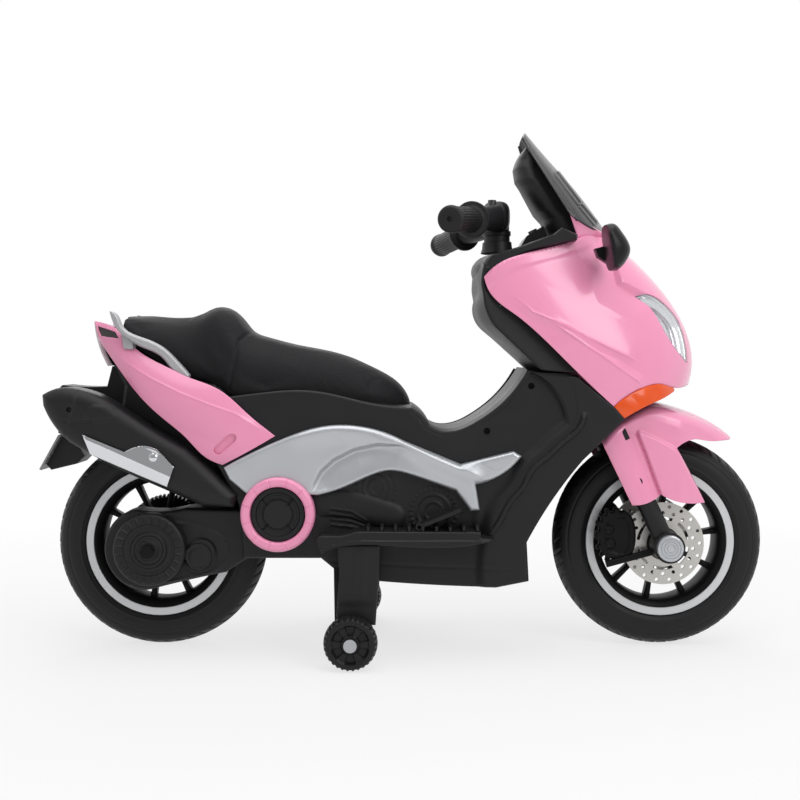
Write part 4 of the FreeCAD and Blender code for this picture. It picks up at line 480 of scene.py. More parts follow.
finishValues = {
    # Gloss ABS out of a polished mould: clear bright colour, soft sharp-edged reflections, faint orange
    # peel.
    "glossPinkAbs": {"colours": ("#F097B9", "#EE94B7"), "mottle": 260.0, "rough": (0.22, 0.26), "grain": 3.0,
                     "bump": 0.015, "sockets": {"IOR": 1.5, "Coat Weight": 0.35, "Coat Roughness": 0.08}},
    # Polypropylene from a spark-eroded mould: dark, satin, fine grain drawn at 1.4 mm so that it shows.
    "grainedBlackPolypropylene": {"colours": ("#161618", "#1B1B1D"), "mottle": 60.0, "rough": (0.42, 0.52),
                                  "grain": 1.4, "bump": 0.08, "sockets": {"Specular IOR Level": 0.3}},
    # Black ABS with a polished face: darker and with cleaner reflections.
    "polishedBlackAbs": {"colours": ("#131314", "#171719"), "mottle": 90.0, "rough": (0.28, 0.36),
                         "grain": 2.4, "bump": 0.03, "sockets": {"Specular IOR Level": 0.2}},
    # Silver lacquer on ABS: pale grey with fine flakes that break up the reflection, drawn at 0.9 mm.
    "silverLacquer": {"colours": ("#B6B9BD", "#C0C3C7"), "mottle": 45.0, "rough": (0.30, 0.38), "grain": 0.9,
                      "bump": 0.05,
                      "sockets": {"Metallic": 0.55, "Coat Weight": 0.3, "Coat Roughness": 0.1}},
    # Chrome plate on plastic: mirror bright, slightly wavy over the moulding.
    "chromePlate": {"colours": ("#DCDDE0", "#D2D3D6"), "mottle": 80.0, "rough": (0.05, 0.09), "grain": 14.0,
                    "bump": 0.01, "sockets": {"Metallic": 1.0}},
    # Embossed leatherette: soft black with small raised cells, drawn at 2.2 mm.
    "embossedLeatherette": {"colours": ("#1C1C1E", "#222224"), "mottle": 50.0, "rough": (0.52, 0.62),
                            "grain": 2.2, "bump": 0.22, "cells": True,
                            "sockets": {"Specular IOR Level": 0.13}},
    # Moulded rubber: dull and nearly black with a dusty drift.
    "mouldedRubber": {"colours": ("#161617", "#1C1C1D"), "mottle": 35.0, "rough": (0.42, 0.54), "grain": 1.8,
                      "bump": 0.10, "sockets": {"Specular IOR Level": 0.28}},
    # Satin black nylon of the rims.
    "satinBlackNylon": {"colours": ("#101011", "#151516"), "mottle": 40.0, "rough": (0.38, 0.46),
                        "grain": 1.5, "bump": 0.05, "sockets": {"Specular IOR Level": 0.12}},
    # Bright painted edge of the rims, like turned aluminium.
    "turnedSilverPaint": {"colours": ("#CDCED0", "#D6D7D9"), "mottle": 60.0, "rough": (0.30, 0.36),
                          "grain": 1.0, "bump": 0.01, "sockets": {"Metallic": 0.4}},
    # Zinc plated steel: grey metal with a slightly cloudy face.
    "zincSteel": {"colours": ("#A9ABAE", "#BCBEC1"), "mottle": 18.0, "rough": (0.28, 0.42), "grain": 1.2,
                  "bump": 0.05, "sockets": {"Metallic": 1.0}},
    # Brushed disc steel, the brush lines stretched along the disc.
    "brushedDiscSteel": {"colours": ("#BDBBB6", "#CFCDC8"), "mottle": 22.0, "rough": (0.30, 0.42),
                         "grain": 1.2, "bump": 0.08, "stretch": (1.0, 1.0, 0.2),
                         "sockets": {"Metallic": 0.85}},
    # Clear polycarbonate of the headlights.
    "clearPolycarbonate": {"colours": ("#F4F6F8", "#FAFBFC"), "mottle": 60.0, "rough": (0.03, 0.06),
                           "grain": 9.0, "bump": 0.03, "sockets": {"IOR": 1.58, "Transmission Weight": 1.0}},
    # Metallised bowl behind the lens: bright, with flutes that scatter the reflection.
    "metallisedBowl": {"colours": ("#D8D8DA", "#E6E6E8"), "mottle": 25.0, "rough": (0.14, 0.26),
                       "grain": 7.0, "bump": 0.35, "stretch": (1.0, 1.0, 0.25),
                       "sockets": {"Metallic": 0.9}},
    # Amber lens moulded with faint facets.
    "amberAcrylic": {"colours": ("#E9560F", "#E04C0A"), "mottle": 16.0, "rough": (0.18, 0.26), "grain": 6.0,
                     "bump": 0.12, "sockets": {"IOR": 1.49, "Coat Weight": 0.1}},
    # Smoked pale lens of the tail lamp.
    "tailAcrylic": {"colours": ("#CDB9C0", "#D8CBD0"), "mottle": 14.0, "rough": (0.14, 0.22), "grain": 4.0,
                    "bump": 0.2, "stretch": (1.0, 0.3, 1.0), "sockets": {"IOR": 1.49, "Coat Weight": 0.5}},
    # Smoked polycarbonate screen: dark and glossy, letting only a little light through.
    "smokedPolycarbonate": {"colours": ("#424244", "#4A4A4C"), "mottle": 70.0, "rough": (0.20, 0.26),
                            "grain": 8.0, "bump": 0.02,
                            "sockets": {"IOR": 1.5, "Transmission Weight": 0.3, "Specular IOR Level": 0.3}},
    # Mirror foil.
    "mirrorFoil": {"colours": ("#E2E5E8", "#EAECEE"), "mottle": 50.0, "rough": (0.02, 0.04), "grain": 20.0,
                   "bump": 0.01, "sockets": {"Metallic": 1.0}},
    # Satin grey paint of the grab rails.
    "satinGreyPaint": {"colours": ("#A8A8AA", "#B4B4B6"), "mottle": 30.0, "rough": (0.32, 0.42),
                       "grain": 1.6, "bump": 0.06, "sockets": {"Metallic": 0.3}},
    # Plain grey plate, satin moulded.
    "satinGreyAbs": {"colours": ("#8A8A8C", "#939395"), "mottle": 40.0, "rough": (0.38, 0.48), "grain": 1.6,
                     "bump": 0.05},
    # Natural nylon: creamy and waxy.
    "naturalNylon": {"colours": ("#DAD6C8", "#E2DED2"), "mottle": 20.0, "rough": (0.35, 0.45), "grain": 1.5,
                     "bump": 0.05},
    # Battery case.
    "greyBatteryAbs": {"colours": ("#2A2C30", "#32343A"), "mottle": 30.0, "rough": (0.4, 0.5), "grain": 1.5,
                       "bump": 0.08},
    # Lacquered circuit board.
    "lacqueredBoard": {"colours": ("#1C5A38", "#257046"), "mottle": 6.0, "rough": (0.25, 0.35), "grain": 2.5,
                       "bump": 0.2},
    # Blackened steel of the screw heads: no shine to speak of, so that they read as dark dots.
    "blackenedSteel": {"colours": ("#050506", "#0A0A0B"), "mottle": 4.0, "rough": (0.6, 0.7), "grain": 0.8,
                       "bump": 0.05, "sockets": {"Specular IOR Level": 0.05}},
    # Dark grey push buttons, polished.
    "polishedGreyAbs": {"colours": ("#2E2E30", "#363638"), "mottle": 12.0, "rough": (0.2, 0.28),
                        "grain": 3.0, "bump": 0.03, "sockets": {"Coat Weight": 0.4}},
    # Dark insert of the tail panels.
    "darkSmokeAcrylic": {"colours": ("#2C2627", "#352E30"), "mottle": 14.0, "rough": (0.2, 0.28),
                         "grain": 5.0, "bump": 0.08, "sockets": {"Coat Weight": 0.3}},
}
finish = {name: makeFinish(name, values) for name, values in finishValues.items()}
print("finishes made:", len(finish))

# CAD nodes that keep their shape
nodeFinish = {
    "grainedBlackPolypropylene": ["body_half_right", "body_half_left", "leg_shield", "undertail",
                                  "plate_holder",
                                  "fork", "brake_calipers", "swing_arms", "drive_covers", "footboards",
                                  "accelerator_pedal", "side_wheel_arms", "battery_tray", "muffler",
                                  "handlebar", "engine_caps"],
    "blackenedSteel": ["body_screws"],
    "polishedBlackAbs": ["dash_housing", "instrument_panel", "charge_socket", "mirrors"],
    "zincSteel": ["front_axle", "steering_stem", "head_tube", "drive_pinion", "motor", "side_wheel_bolts"],
    "brushedDiscSteel": ["brake_discs"],
    "naturalNylon": ["head_bushes"],
    "greyBatteryAbs": ["battery"],
    "lacqueredBoard": ["control_board"],
    "polishedGreyAbs": ["power_button", "horn_button", "music_button"],
    "mirrorFoil": ["mirror_glasses"],
    "satinGreyAbs": ["number_plate"],
    "tailAcrylic": ["tail_lamp"],
    "glossPinkAbs": ["front_fairing", "front_mudguard", "rear_panels", "engine_rings"],
    "clearPolycarbonate": ["headlight_lenses"],
    "metallisedBowl": ["headlight_reflectors"],
    "amberAcrylic": ["turn_signals"],
    "smokedPolycarbonate": ["windscreen"],
    "satinGreyPaint": ["grab_rails"],
    "embossedLeatherette": ["seat_cushion"],
    "chromePlate": ["muffler_heat_shield"],
    "mouldedRubber": ["front_tyre", "rear_tyre", "grips", "side_wheel_right", "side_wheel_left"],
    "satinBlackNylon": ["front_rim", "rear_rim", "wheel_gear", "axle_nuts", "rear_axle"],
    "silverLacquer": ["side_trims", "fork_caps"],
}
for finishName, names in nodeFinish.items():
    for name in names:
        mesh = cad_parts[name].data
        if not mesh.materials:
            mesh.materials.append(finish[finishName])
        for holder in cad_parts[name].material_slots:
            holder.material = finish[finishName]
print("nodes dressed:", sum(len(names) for names in nodeFinish.values()))

# Front fairing
fairing = {
    "rear": [(614, 406.5), (588, 382.5), (551, 346), (516, 315), (490, 292.5), (484, 277)],
    "nose": [(688, 385), (692, 362), (684, 327), (660, 289), (630, 257.5), (613, 243)],
    "bottom": [(614, 406.5), (644, 387), (662, 384), (676, 388), (688, 385)],
    "top": [(484, 277), (499.5, 263), (521, 254.6), (571, 241), (597, 234), (613, 243)],
    "halfWidth": 118.0, "bulge": 8.0, "noseShare": 0.9, "sideShare": 0.9, "wall": 3.0,
    "headlight": [[(650, 294.5), (666, 305), (678, 320), (685, 339), (687.5, 364)],
                  [(681.5, 356.5), (669, 339), (655, 314.5), (638, 294)]],
    # folds pressed into the sides: line of pixels, height in mm, reach in pixels above and below it
    "folds": [([(509, 291), (533, 312), (552.6, 320), (600, 343.5), (640, 363)], 3.6, 30.0, 8.0),
              ([(545, 316), (558.5, 326.5), (600, 355), (645, 386.5)], 3.6, 8.0, 30.0)],
    # facet ahead of a fold: line, depth and width of the plane that drops away in front of it
    "facet": ([(570, 241), (576, 250), (586, 266), (594, 292), (598.5, 303), (642.5, 325.5)], 8.0, 27.0),
    "lip": 1.6, "bead": 1.1,
}
headlight = {"lensShare": 0.975, "lensDrop": 0.6, "lensWall": 1.6,
             "bowlShare": 1.02, "bowlDrop": 3.4, "bowlDepth": 11.0, "bowlRound": 14.0, "bowlWall": 1.2}


# side-view place: s from the lower to the upper edge, turn 1 at the rear, 0 at the nose
def fairingPixel(s, turn):
    ahead = np.sin((1 - np.abs(turn)) * np.pi / 2) ** fairing["noseShare"]
    return fourSided(fairing["bottom"], fairing["top"], fairing["rear"], fairing["nose"], s, ahead)


def fairingBase(s, turn):  # the pixel's eye line cut at a width that closes to the middle at the nose
    width = fairing["halfWidth"] + fairing["bulge"] * np.sin(np.pi * s)
    right = width * np.cos((1 - np.abs(turn)) * np.pi / 2) ** fairing["sideShare"]
    points = place(fairingPixel(s, turn), right)
    points[..., 1] *= np.where(turn < 0, 1, -1)
    return points


def fairingSurface(s, turn, lift=0.0):
    # Base surface moved along its normal: folds are tents over their lines, the facet drops from its line,
    # the upper edge carries a lip.
    e = 1e-3
    up = fairingBase(np.clip(s + e, 0, 1), turn) - fairingBase(np.clip(s - e, 0, 1), turn)
    side = fairingBase(s, np.clip(turn + e, -1, 1)) - fairingBase(s, np.clip(turn - e, -1, 1))
    normal = np.cross(side, up)
    normal /= np.linalg.norm(normal, axis=-1, keepdims=True)
    uv = fairingPixel(s, turn)
    height = np.zeros(s.shape) + lift
    for line, rise, above, below in fairing["folds"]:
        d, along = lineDistance(uv, line)
        fade = fading(along, 0.3, 0.9)
        height = height + rise * fade * tent(d, np.where(d < 0, above, below))
        height = height + fairing["bead"] * fade * hill(d, 0.9)
    line, depth, reach = fairing["facet"]
    d, along = lineDistance(uv, line)
    drop = np.clip(-d / reach, 0, 1) * smooth(-reach - 4, -reach, d)
    height = height - depth * drop * fading(along, 0.15, 0.85)
    height = height + fairing["lip"] * smooth(0.915, 0.945, s) * smooth(0.35, 0.5, np.abs(turn))
    return fairingBase(s, turn) + normal * height[..., None]


# rough size in mm of the fairing's s and turn ranges, to keep triangles even
domain = np.array([230.0, 420.0])


def fairingPatch(loops, step, lift=0.0, rims=(1.0, 2.5), extra=None):
    flat, triangles = filled([loop * domain for loop in loops], step, rims, extra)
    st = flat / domain
    return fairingSurface(np.clip(st[:, 0], 0, 1), np.clip(st[:, 1], -1, 1), lift), [triangles]


lampOutline = loopThrough(fairing["headlight"], 1.0)
lampShares = sharesAt(fairingPixel, lampOutline, 0.02, 0.005)
leftLampShares = lampShares * [1, -1]
lampShares = lampShares[::-1]
border = shareBorder(-1, 90)
foldRows = np.concatenate([besideLine(line, (-3, -1.6, -0.7, 0, 0.7, 1.6, 3))
                           for line in [fold[0] for fold in fairing["folds"]] + [fairing["facet"][0]]])
foldShares = sharesAt(fairingPixel, foldRows, 0.02, 0.005) * domain
foldShares = np.concatenate([foldShares, foldShares * [1, -1]])
fairingSheet = facing(fairingPatch([border, lampShares, leftLampShares], 2.7, extra=foldShares), (1, 0, 0.2))
makePiece("frontFairing", fairingSheet, "glossPinkAbs", "frame", ["front_fairing"],
          merge=False, sharp=30, wall=fairing["wall"])

lampCentre = lampShares.mean(0)
lensLoop = lampCentre + (lampShares - lampCentre) * headlight["lensShare"]
lens = facing(fairingPatch([lensLoop], 4.0, -headlight["lensDrop"]), (1, 0.2, 0))
makePiece("headlightLenses", bothSides(lens), "clearPolycarbonate", "frame",
          ["headlight_lenses"],
          merge=False, sharp=60, wall=headlight["lensWall"])
bowlLoop = (lampCentre + (lampShares - lampCentre) * headlight["bowlShare"]) * domain
flat, triangles = filled([bowlLoop], 3.0, (1.0, 2.5))
depth = headlight["bowlDepth"] * rounding(edgeDistance(flat, [bowlLoop]), headlight["bowlRound"])
st = flat / domain
bowl = (fairingSurface(st[:, 0], st[:, 1], -headlight["bowlDrop"] - depth), [triangles])
bowl = facing(bowl, (1, 0.2, 0))
makePiece("headlightBowls", bothSides(bowl), "metallisedBowl", "frame",
          ["headlight_reflectors"], merge=False, sharp=60, wall=headlight["bowlWall"])

# Amber lamps under the fairing's lower edge
signal = {"lower": [(624.5, 418.5), (650, 404.5), (665, 397.5), (674.5, 391)], "reach": 0.82, "joint": 1.06,
          "wall": 3.0, "facet": 1.2, "tuck": 2.4}
s, t = everyPair(np.linspace(0, 1, 24), np.linspace(0, 1, 90))
ahead = t * signal["reach"]
upper = fourSided(fairing["bottom"], fairing["top"], fairing["rear"], fairing["nose"], 0 * t, ahead)
lower = spline(signal["lower"], t)
uv = lower + (upper - lower) * (s * signal["joint"])[..., None]
angle = np.arcsin(ahead ** (1 / fairing["noseShare"]))
ripple = signal["facet"] * np.abs(np.sin(t * np.pi * 3)) * np.sin(np.pi * s)
right = fairing["halfWidth"] * np.cos(angle) ** fairing["sideShare"] + ripple
right = right - signal["tuck"] * smooth(0.88, 0.97, s)
lamp = facing(gridPatch(place(uv, right)), (0.5, -1, -0.3))
makePiece("turnSignals", bothSides(lamp), "amberAcrylic", "frame",
          ["turn_signals"], merge=False, sharp=50, wall=signal["wall"])
print("front made")

# Windscreen: each row is a half ellipse from one side edge over the middle to the other
screen = {"centre": [(609, 237), (593, 214), (573, 188), (548, 160), (525, 133)],
          "side": [(571, 216), (558, 196), (543, 172), (531, 153), (523.5, 139)],
          "halfWidths": [92.0, 87.0, 76.0, 60.0, 34.0], "wall": 3.0, "lip": 1.6,
          # raised bars near the front edge, each with a slot let into it
          "bars": [[(557, 174), (579, 203)], [(581, 206), (595, 223)]], "barHeight": 1.8, "slotDepth": 2.4}


def screenPlace(s, a):
    width = profileThrough(screen["halfWidths"], s)
    back = (1 - np.cos(a))[..., None]
    uv = spline(screen["centre"], s) * (1 - back) + spline(screen["side"], s) * back
    points = place(uv, width * np.abs(np.sin(a)))
    points[..., 1] = width * np.sin(a)
    return points, uv


s, a = everyPair(np.linspace(0, 1, 200), np.linspace(-np.pi / 2, np.pi / 2, 220))
points, uv = screenPlace(s, a)
normal = np.cross(np.gradient(points, axis=0), np.gradient(points, axis=1))
normal /= np.linalg.norm(normal, axis=-1, keepdims=True)
normal *= np.sign(normal[..., :1].mean())
height = screen["lip"] * smooth(1.36, 1.44, np.abs(a))  # rolled lip along both side edges
for line in screen["bars"]:
    d = np.abs(lineDistance(uv, line)[0])
    height = height + screen["barHeight"] * smooth(3.4, 2.6, d) - screen["slotDepth"] * smooth(1.5, 0.9, d)
makePiece("windscreen", facing(gridPatch(points + normal * height[..., None]), (1, 0, 0.3)),
          "smokedPolycarbonate", "frame", ["windscreen"], merge=False, wall=screen["wall"])

# Pink cowl from the fairing's upper edge to the foot of the screen
cowl = {"turnEnd": 0.5, "under": 2.0, "wall": 2.0}
turn, t = everyPair(np.linspace(-1, 1, 121), np.linspace(0, 1, 14))
low = fairingSurface(np.ones(turn.shape), turn * cowl["turnEnd"], -cowl["under"])
high = screenPlace(0 * turn + 0.02, turn * np.pi / 2)[0]
mix = t[..., None]
strip = low * (1 - mix) + high * mix
strip[..., 0] += 5.0 * np.sin(np.pi * t) * np.cos(turn * np.pi / 2)
makePiece("noseCowl", facing(gridPatch(strip), (1, 0, 0.5)), "glossPinkAbs", "frame",
          merge=False, sharp=60, wall=cowl["wall"])

# Dash housing: side outline drawn back towards the screen at both ends
dash = {"outline": [[(516.5, 160.4), (514, 168.5)], [(516, 180.5)], [(520.5, 187)], [(535, 212.8)],
                    [(542.5, 220.7)], [(550.5, 236)], [(551.5, 242)], [(573, 244)], [(573, 216)],
                    [(549, 182), (530, 155)], [(525.5, 147.6)]],
        "half": 68.0, "readAt": 20.0, "draw": 15.0, "screenTop": 525.0, "top": 147.6, "foot": 244.0,
        "narrow": 0.62,
        "rim": [(-4.0, 0.0), (-0.6, 0.3), (0.0, 1.2), (0.0, 4.2), (-3.6, 5.4)]}


def dashShift(uv, right):
    # Rear points move forward towards the ends, by an ellipse, the screen side stays.
    q = min(abs(right) / dash["half"], 1.0)
    behind = np.clip((dash["screenTop"] + (uv[:, 1] - dash["top"]) * 0.7 - uv[:, 0]) / 18, 0, 1)
    move = dash["draw"] * (1 - math.sqrt(max(0.0, 1 - q ** 2.4))) * behind
    return np.stack([move, 0 * move], -1)


sideLevels = [(dash["half"] + y, inset) for y, inset in dash["rim"]]
levels = [((dash["half"] - 4.0) * q, 0.0) for q in np.linspace(-0.96, 0.96, 31)]
levels = [(-y, inset) for y, inset in sideLevels[::-1]] + levels + sideLevels
dashPatch = pillowPatch(dash["outline"], levels, dash["readAt"], dashShift)
low, high = place([(500, dash["foot"]), (500, dash["top"])], dash["readAt"])[:, 2]
# narrowed towards the top, so that it stays inside the screen
dashPatch[0][:, 1] *= 1 - dash["narrow"] * np.clip((dashPatch[0][:, 2] - low) / (high - low), 0, 1) ** 1.7
makePiece("dashHousing", dashPatch, "grainedBlackPolypropylene", "frame", ["dash_housing"],
          sharp=40)

# Leg shield: rear face bowed across, sides running in under the fairing, strip along the fairing's top
shieldPiece = {
    "middle": [(475.5, 262), (474.5, 273), (474.2, 282), (476.5, 293), (474, 302), (473.2, 312),
               (477.5, 323.5), (490, 335), (509, 351.5), (531, 369)],
    "side": [(484, 266), (482, 275), (481.5, 284), (483, 294), (484.5, 304), (487, 312), (493, 323.5),
             (505, 336), (522, 352), (541, 370)],
    "front": [(498, 266), (494, 280), (497, 290), (507, 300), (517, 309), (526, 317), (539, 328.5),
              (553, 341), (570, 356.5), (588, 374)],
    "half": 117.0, "tuck": 112.0, "wall": 3.0,
    "strip": [[(499.5, 264.5), (521, 256), (546, 249), (572, 243.5)], [(572.5, 238)], [(557, 231)],
              [(549, 237.5)], [(515, 249.5)], [(480, 257.5)], [(475.5, 262.5), (475, 273)], [(484, 278)]],
    "stripHalf": 115.0, "stripDraw": 9.0,
}
rows = np.linspace(0, 1, 60)
middle, side, front = [spline(shieldPiece[key], rows) for key in ("middle", "side", "front")]
middle, side, front = place(middle, 0), place(side, shieldPiece["half"]), place(front, shieldPiece["tuck"])


def shieldRow(share):  # rear face at a share of its half width, bowed forward towards the sides
    bow = (side - middle) * share ** 2.4
    return np.stack([middle[:, 0] + bow[:, 0], 0 * middle[:, 0] - shieldPiece["half"] * share,
                     middle[:, 2] + bow[:, 2]], -1)


half = [shieldRow(share) for share in (0.0, 0.25, 0.5, 0.72, 0.88, 0.97)]
half += [side + [2.5, 0, 0], (side * 2 + front) / 3, front]
whole = [row * [1, -1, 1] for row in half[:0:-1]] + half
knots = np.stack(whole).reshape(len(whole), -1)
shieldGrid = spline(knots, np.linspace(0, 1, 160), even=True).reshape(160, len(rows), 3)
shieldSkin = facing(gridPatch(shieldGrid), (-1, 0, 0.2))


def stripShift(uv, right):  # rear end drawn forward towards the sides
    q = (abs(right) / shieldPiece["stripHalf"]) ** 2.4
    move = shieldPiece["stripDraw"] * q * smooth(530, 476, uv[:, 0])
    return np.stack([move, 0 * move], -1)


levels = [(shieldPiece["stripHalf"] * q, 2.2 * smooth(0.97, 1.0, abs(q))) for q in np.linspace(-1, 1, 45)]
stripPatch = pillowPatch(shieldPiece["strip"], levels, 58.0, stripShift)
makePiece("legShield", shieldSkin, "grainedBlackPolypropylene", "frame", ["leg_shield"],
          merge=False, sharp=40, wall=shieldPiece["wall"])
makePiece("dashStrip", stripPatch, "grainedBlackPolypropylene", "frame", sharp=40)

# Mirrors: cups that close towards both ends, flat glass behind, short stalks
mirror = {"outline": [[(613, 224.7), (620, 232), (627.5, 244), (629, 250), (626, 260), (616.5, 270.5)],
                      [(611, 270.5)], [(608, 260), (606, 246.4), (604.8, 236)], [(604.2, 225.5)]],
          "rearTop": (604.2, 225), "rearFoot": (611, 270.5), "inner": 108.0, "outer": 178.0, "readAt": 142.0,
          "stalk": [[(606.5, 245.5)], [(608.5, 265)], [(597, 257.5)], [(594, 249)]],
          "glassHalf": (27.0, 15.0), "level": 247.5}
mirrorMiddle = (mirror["inner"] + mirror["outer"]) / 2
mirrorHalf = (mirror["outer"] - mirror["inner"]) / 2


def rearLine(v):  # pixel across at height v of the glass plane
    (u0, v0), (u1, v1) = mirror["rearTop"], mirror["rearFoot"]
    return u0 + (v - v0) * (u1 - u0) / (v1 - v0)


def mirrorShift(uv, right):
    q = abs(right - mirrorMiddle) / mirrorHalf
    full = max(0.16, math.sqrt(max(0.0, 1 - q ** 3)))
    v = mirror["level"] + (uv[:, 1] - mirror["level"]) * (0.4 + 0.6 * full)
    u = rearLine(v) + (uv[:, 0] - rearLine(uv[:, 1])) * full
    return np.stack([u, v], -1) - uv


levels = [(mirrorMiddle + mirrorHalf * math.sin(q), 0.0) for q in np.linspace(-np.pi / 2, np.pi / 2, 37)]
cup = pillowPatch(mirror["outline"], levels, mirror["readAt"], mirrorShift, 0.7)
stalk = pillowPatch(mirror["stalk"], [(94.0, 1.0), (108.0, 0.0), (114.0, 0.0), (118.0, 0.6)],
                    mirror["inner"])
cups = joined([cup, stalk])
makePiece("mirrorCups", bothSides(cups), "polishedBlackAbs", "frame", ["mirrors"], sharp=40)
rho, around = everyPair(np.linspace(0, 1, 12), turns(64))
v = mirror["level"] - mirror["glassHalf"][1] * rho * squared(np.sin(around), 0.8)
glass = place(np.stack([rearLine(v), v], -1), mirror["readAt"])
glass[..., 0] -= 0.4
glass[..., 1] = -mirrorMiddle - mirror["glassHalf"][0] * rho * squared(np.cos(around), 0.8)
glass = facing(gridPatch(glass, closeColumns=True), (-1, 0, 0))
makePiece("mirrorGlass", bothSides(glass), "mirrorFoil", "frame", ["mirror_glasses"],
          merge=False, wall=0.3)

# Handlebar: yoke, switch pods, neck, ribbed grips
bar = {"centre": ((496.5, 218), 0.0), "pod": ((494, 217.5), 60.0), "flange": ((472, 219.6), 106.0),
       "end": ((448.5, 218.9), 205.0),
       "yoke": 20.0,
       "grip": [(-3, 10), (-3, 24), (-2, 25.6), (2, 26), (3.4, 25), (4, 19.5), (6, 17.6), (9, 17.2),
                (9.5, 17.2), (88, 17.2), (88.5, 17.2), (91, 18.6), (96, 18.8), (100, 17.4), (101.6, 14.8),
                (101.8, 3.6), (98.5, 3.2), (98.5, 0)],
       "neck": [(6, 0), (6, 19), (20, 18.5), (21, 20.8), (27, 20.8), (28, 19.2), (36, 19.2), (37, 21.5),
                (46, 22.5), (53, 25.0), (54, 22), (54, 0)]}
barPoint = {key: place(*bar[key]) for key in ("centre", "pod", "flange", "end")}
yokeLine = spline([barPoint["pod"] * [1, -1, 1], barPoint["centre"], barPoint["pod"]], np.linspace(0, 1, 61))
ends = 1 - np.abs(np.linspace(-1, 1, 61)) ** 14 * 0.45
yoke = sweptPatch(yokeLine, bar["yoke"] * ends, 48, (0.96, 1.12), 3.2)
pod = sweptPatch(spline([barPoint["pod"], barPoint["flange"]], np.linspace(0, 1, 20)),
                 np.linspace(17.5, 15.0, 20), 40, (1.0, 1.08), 2.6)
neck = turnedRod(barPoint["centre"], columnTop - barPoint["centre"], bar["neck"])
makePiece("handlebarBody", joined([yoke, pod, mirrored(pod), neck]), "grainedBlackPolypropylene", "steering",
          ["handlebar"], sharp=40)
grip = turnedRod(barPoint["flange"], barPoint["end"] - barPoint["flange"], bar["grip"], 168, 28, 0.5,
                 (9.2, 88.2))
makePiece("gripSleeves", bothSides(grip), "mouldedRubber", "steering", ["grips"], sharp=45)
print("controls made")

# Front mudguard: sides filled in the side view, drawn in towards the crown, and a crown between them
guard = {
    "top": [(600, 438), (612, 425.5), (630, 412.5), (650, 405.5), (673, 409), (696, 416.8), (717, 428),
            (730.5, 438.4)],
    "lower": [[(709.5, 441), (696, 439.3), (677, 448)], [(690, 472), (705, 502.5)],
              [(671, 499.6), (661, 494.5)], [(638.6, 505.3), (632, 505.3)], [(604, 447)], [(600, 438)]],
    "halfWidth": 95.0, "crownHalf": 58.0, "shoulder": 15.0, "wall": 3.0, "tipShare": 0.5,
    "cover": [(606, 425), (611, 436), (634, 490), (642, 508)],
    "groove": [(636, 430), (645, 452), (661, 496)],
    "ledge": [(630, 431), (640, 431.5), (660, 440), (677, 449.5), (706, 503)],
    "fold": [(612, 428), (640, 418.5), (665, 423.5), (692, 433)],
}


def guardRight(uv):
    # Full width low down, rounding in to the crown near the top line, and narrowing to the front tip; on the
    # side a half-round fork cover, a groove, a plate with a ledge above it and a fold along the arch.
    d = np.abs(lineDistance(uv, spline(guard["top"], np.linspace(0, 1, 80)))[0]) * 1.42
    full = guard["crownHalf"] + (guard["halfWidth"] - guard["crownHalf"]) * rounding(d, guard["shoulder"])
    full = full * (1 - (1 - guard["tipShare"]) * smooth(678, 733, uv[..., 0]))
    low = smooth(414, 430, uv[..., 1])
    tube = np.abs(lineDistance(uv, guard["cover"])[0])
    g, gAlong = lineDistance(uv, guard["groove"])
    ledge, _ = lineDistance(uv, guard["ledge"])
    fold, foldAlong = lineDistance(uv, guard["fold"])
    right = full - 8.5 + 8.5 * low * np.clip(1 - (tube / 17) ** 2, 0, 1)
    right = right + 6.0 * smooth(-1.2, 1.2, ledge) * smooth(0.5, -1.5, g) * smooth(0.0, 0.04, gAlong)
    right = right - 2.6 * hill(g, 1.5) * smooth(0.0, 0.06, gAlong)
    return right + 2.4 * tent(fold, 9) * fading(foldAlong, 0.2, 0.85)


guardLoop = loopThrough([guard["top"][1:]] + guard["lower"])
flat, triangles = filled([guardLoop], 1.2, (0.5, 1.2))
side = facing((place(flat, guardRight(flat)), [triangles]), (0, -1, 0.2))
topLine = spline(guard["top"], np.linspace(0, 1, 120))
topRight = guardRight(topLine)
share = np.linspace(-1, 1, 41)
rim = place(topLine, topRight)
crown = np.stack([rim[:, 0][:, None] + 0 * share, topRight[:, None] * share,
                  rim[:, 2][:, None] + 5.0 * (1 - share ** 2)], -1)
crown = facing(gridPatch(crown), (0, 0, 1))
makePiece("frontMudguard", joined([side, mirrored(side), crown]), "glossPinkAbs", "steering",
          ["front_mudguard"], sharp=50, wall=guard["wall"])

# Rear panels
tail = {
    "upper": [(275, 436), (250, 416), (216, 388), (189, 377.5), (168, 367.5), (133, 346), (118, 330),
              (94.5, 321)],
    "lower": [(222.5, 465), (205, 457), (186, 438), (166, 421), (143, 400), (114, 362), (99, 340)],
    "front": [(222.5, 465), (250, 450.5), (275, 436)], "end": [(99, 340), (94.5, 321)],
    "halfWidths": [116.0, 116.0, 110.0, 92.0, 64.0], "edgeDip": 6.0, "wall": 3.0,
    "ridge": ([(112, 349), (125, 362), (150, 378), (180, 393), (210, 405), (236, 414), (266, 433)], 5.5,
              34.0),
    "slot": ((217.8, 450.5), (232.0, 438), 4.3),
    "window": [(96.5, 325.5), (115, 331.5), (119.0, 338.5), (100.5, 336)],
}


def tailPixel(s, t):
    return fourSided(tail["lower"], tail["upper"], tail["front"], tail["end"], s, t)


def tailSurface(s, t, lift=0.0):
    # Bowed between its edges, widths along it, a ridge along its length.
    uv = tailPixel(s, t)
    d, along = lineDistance(uv, tail["ridge"][0])
    fade = fading(along, 0.2, 0.8)
    ridge = tail["ridge"][1] * fade * tent(d, tail["ridge"][2]) + 0.7 * fade * hill(d, 1.0)
    right = profileThrough(tail["halfWidths"], t) - tail["edgeDip"] * (2 * s - 1) ** 2 + ridge + lift
    return place(uv, right)


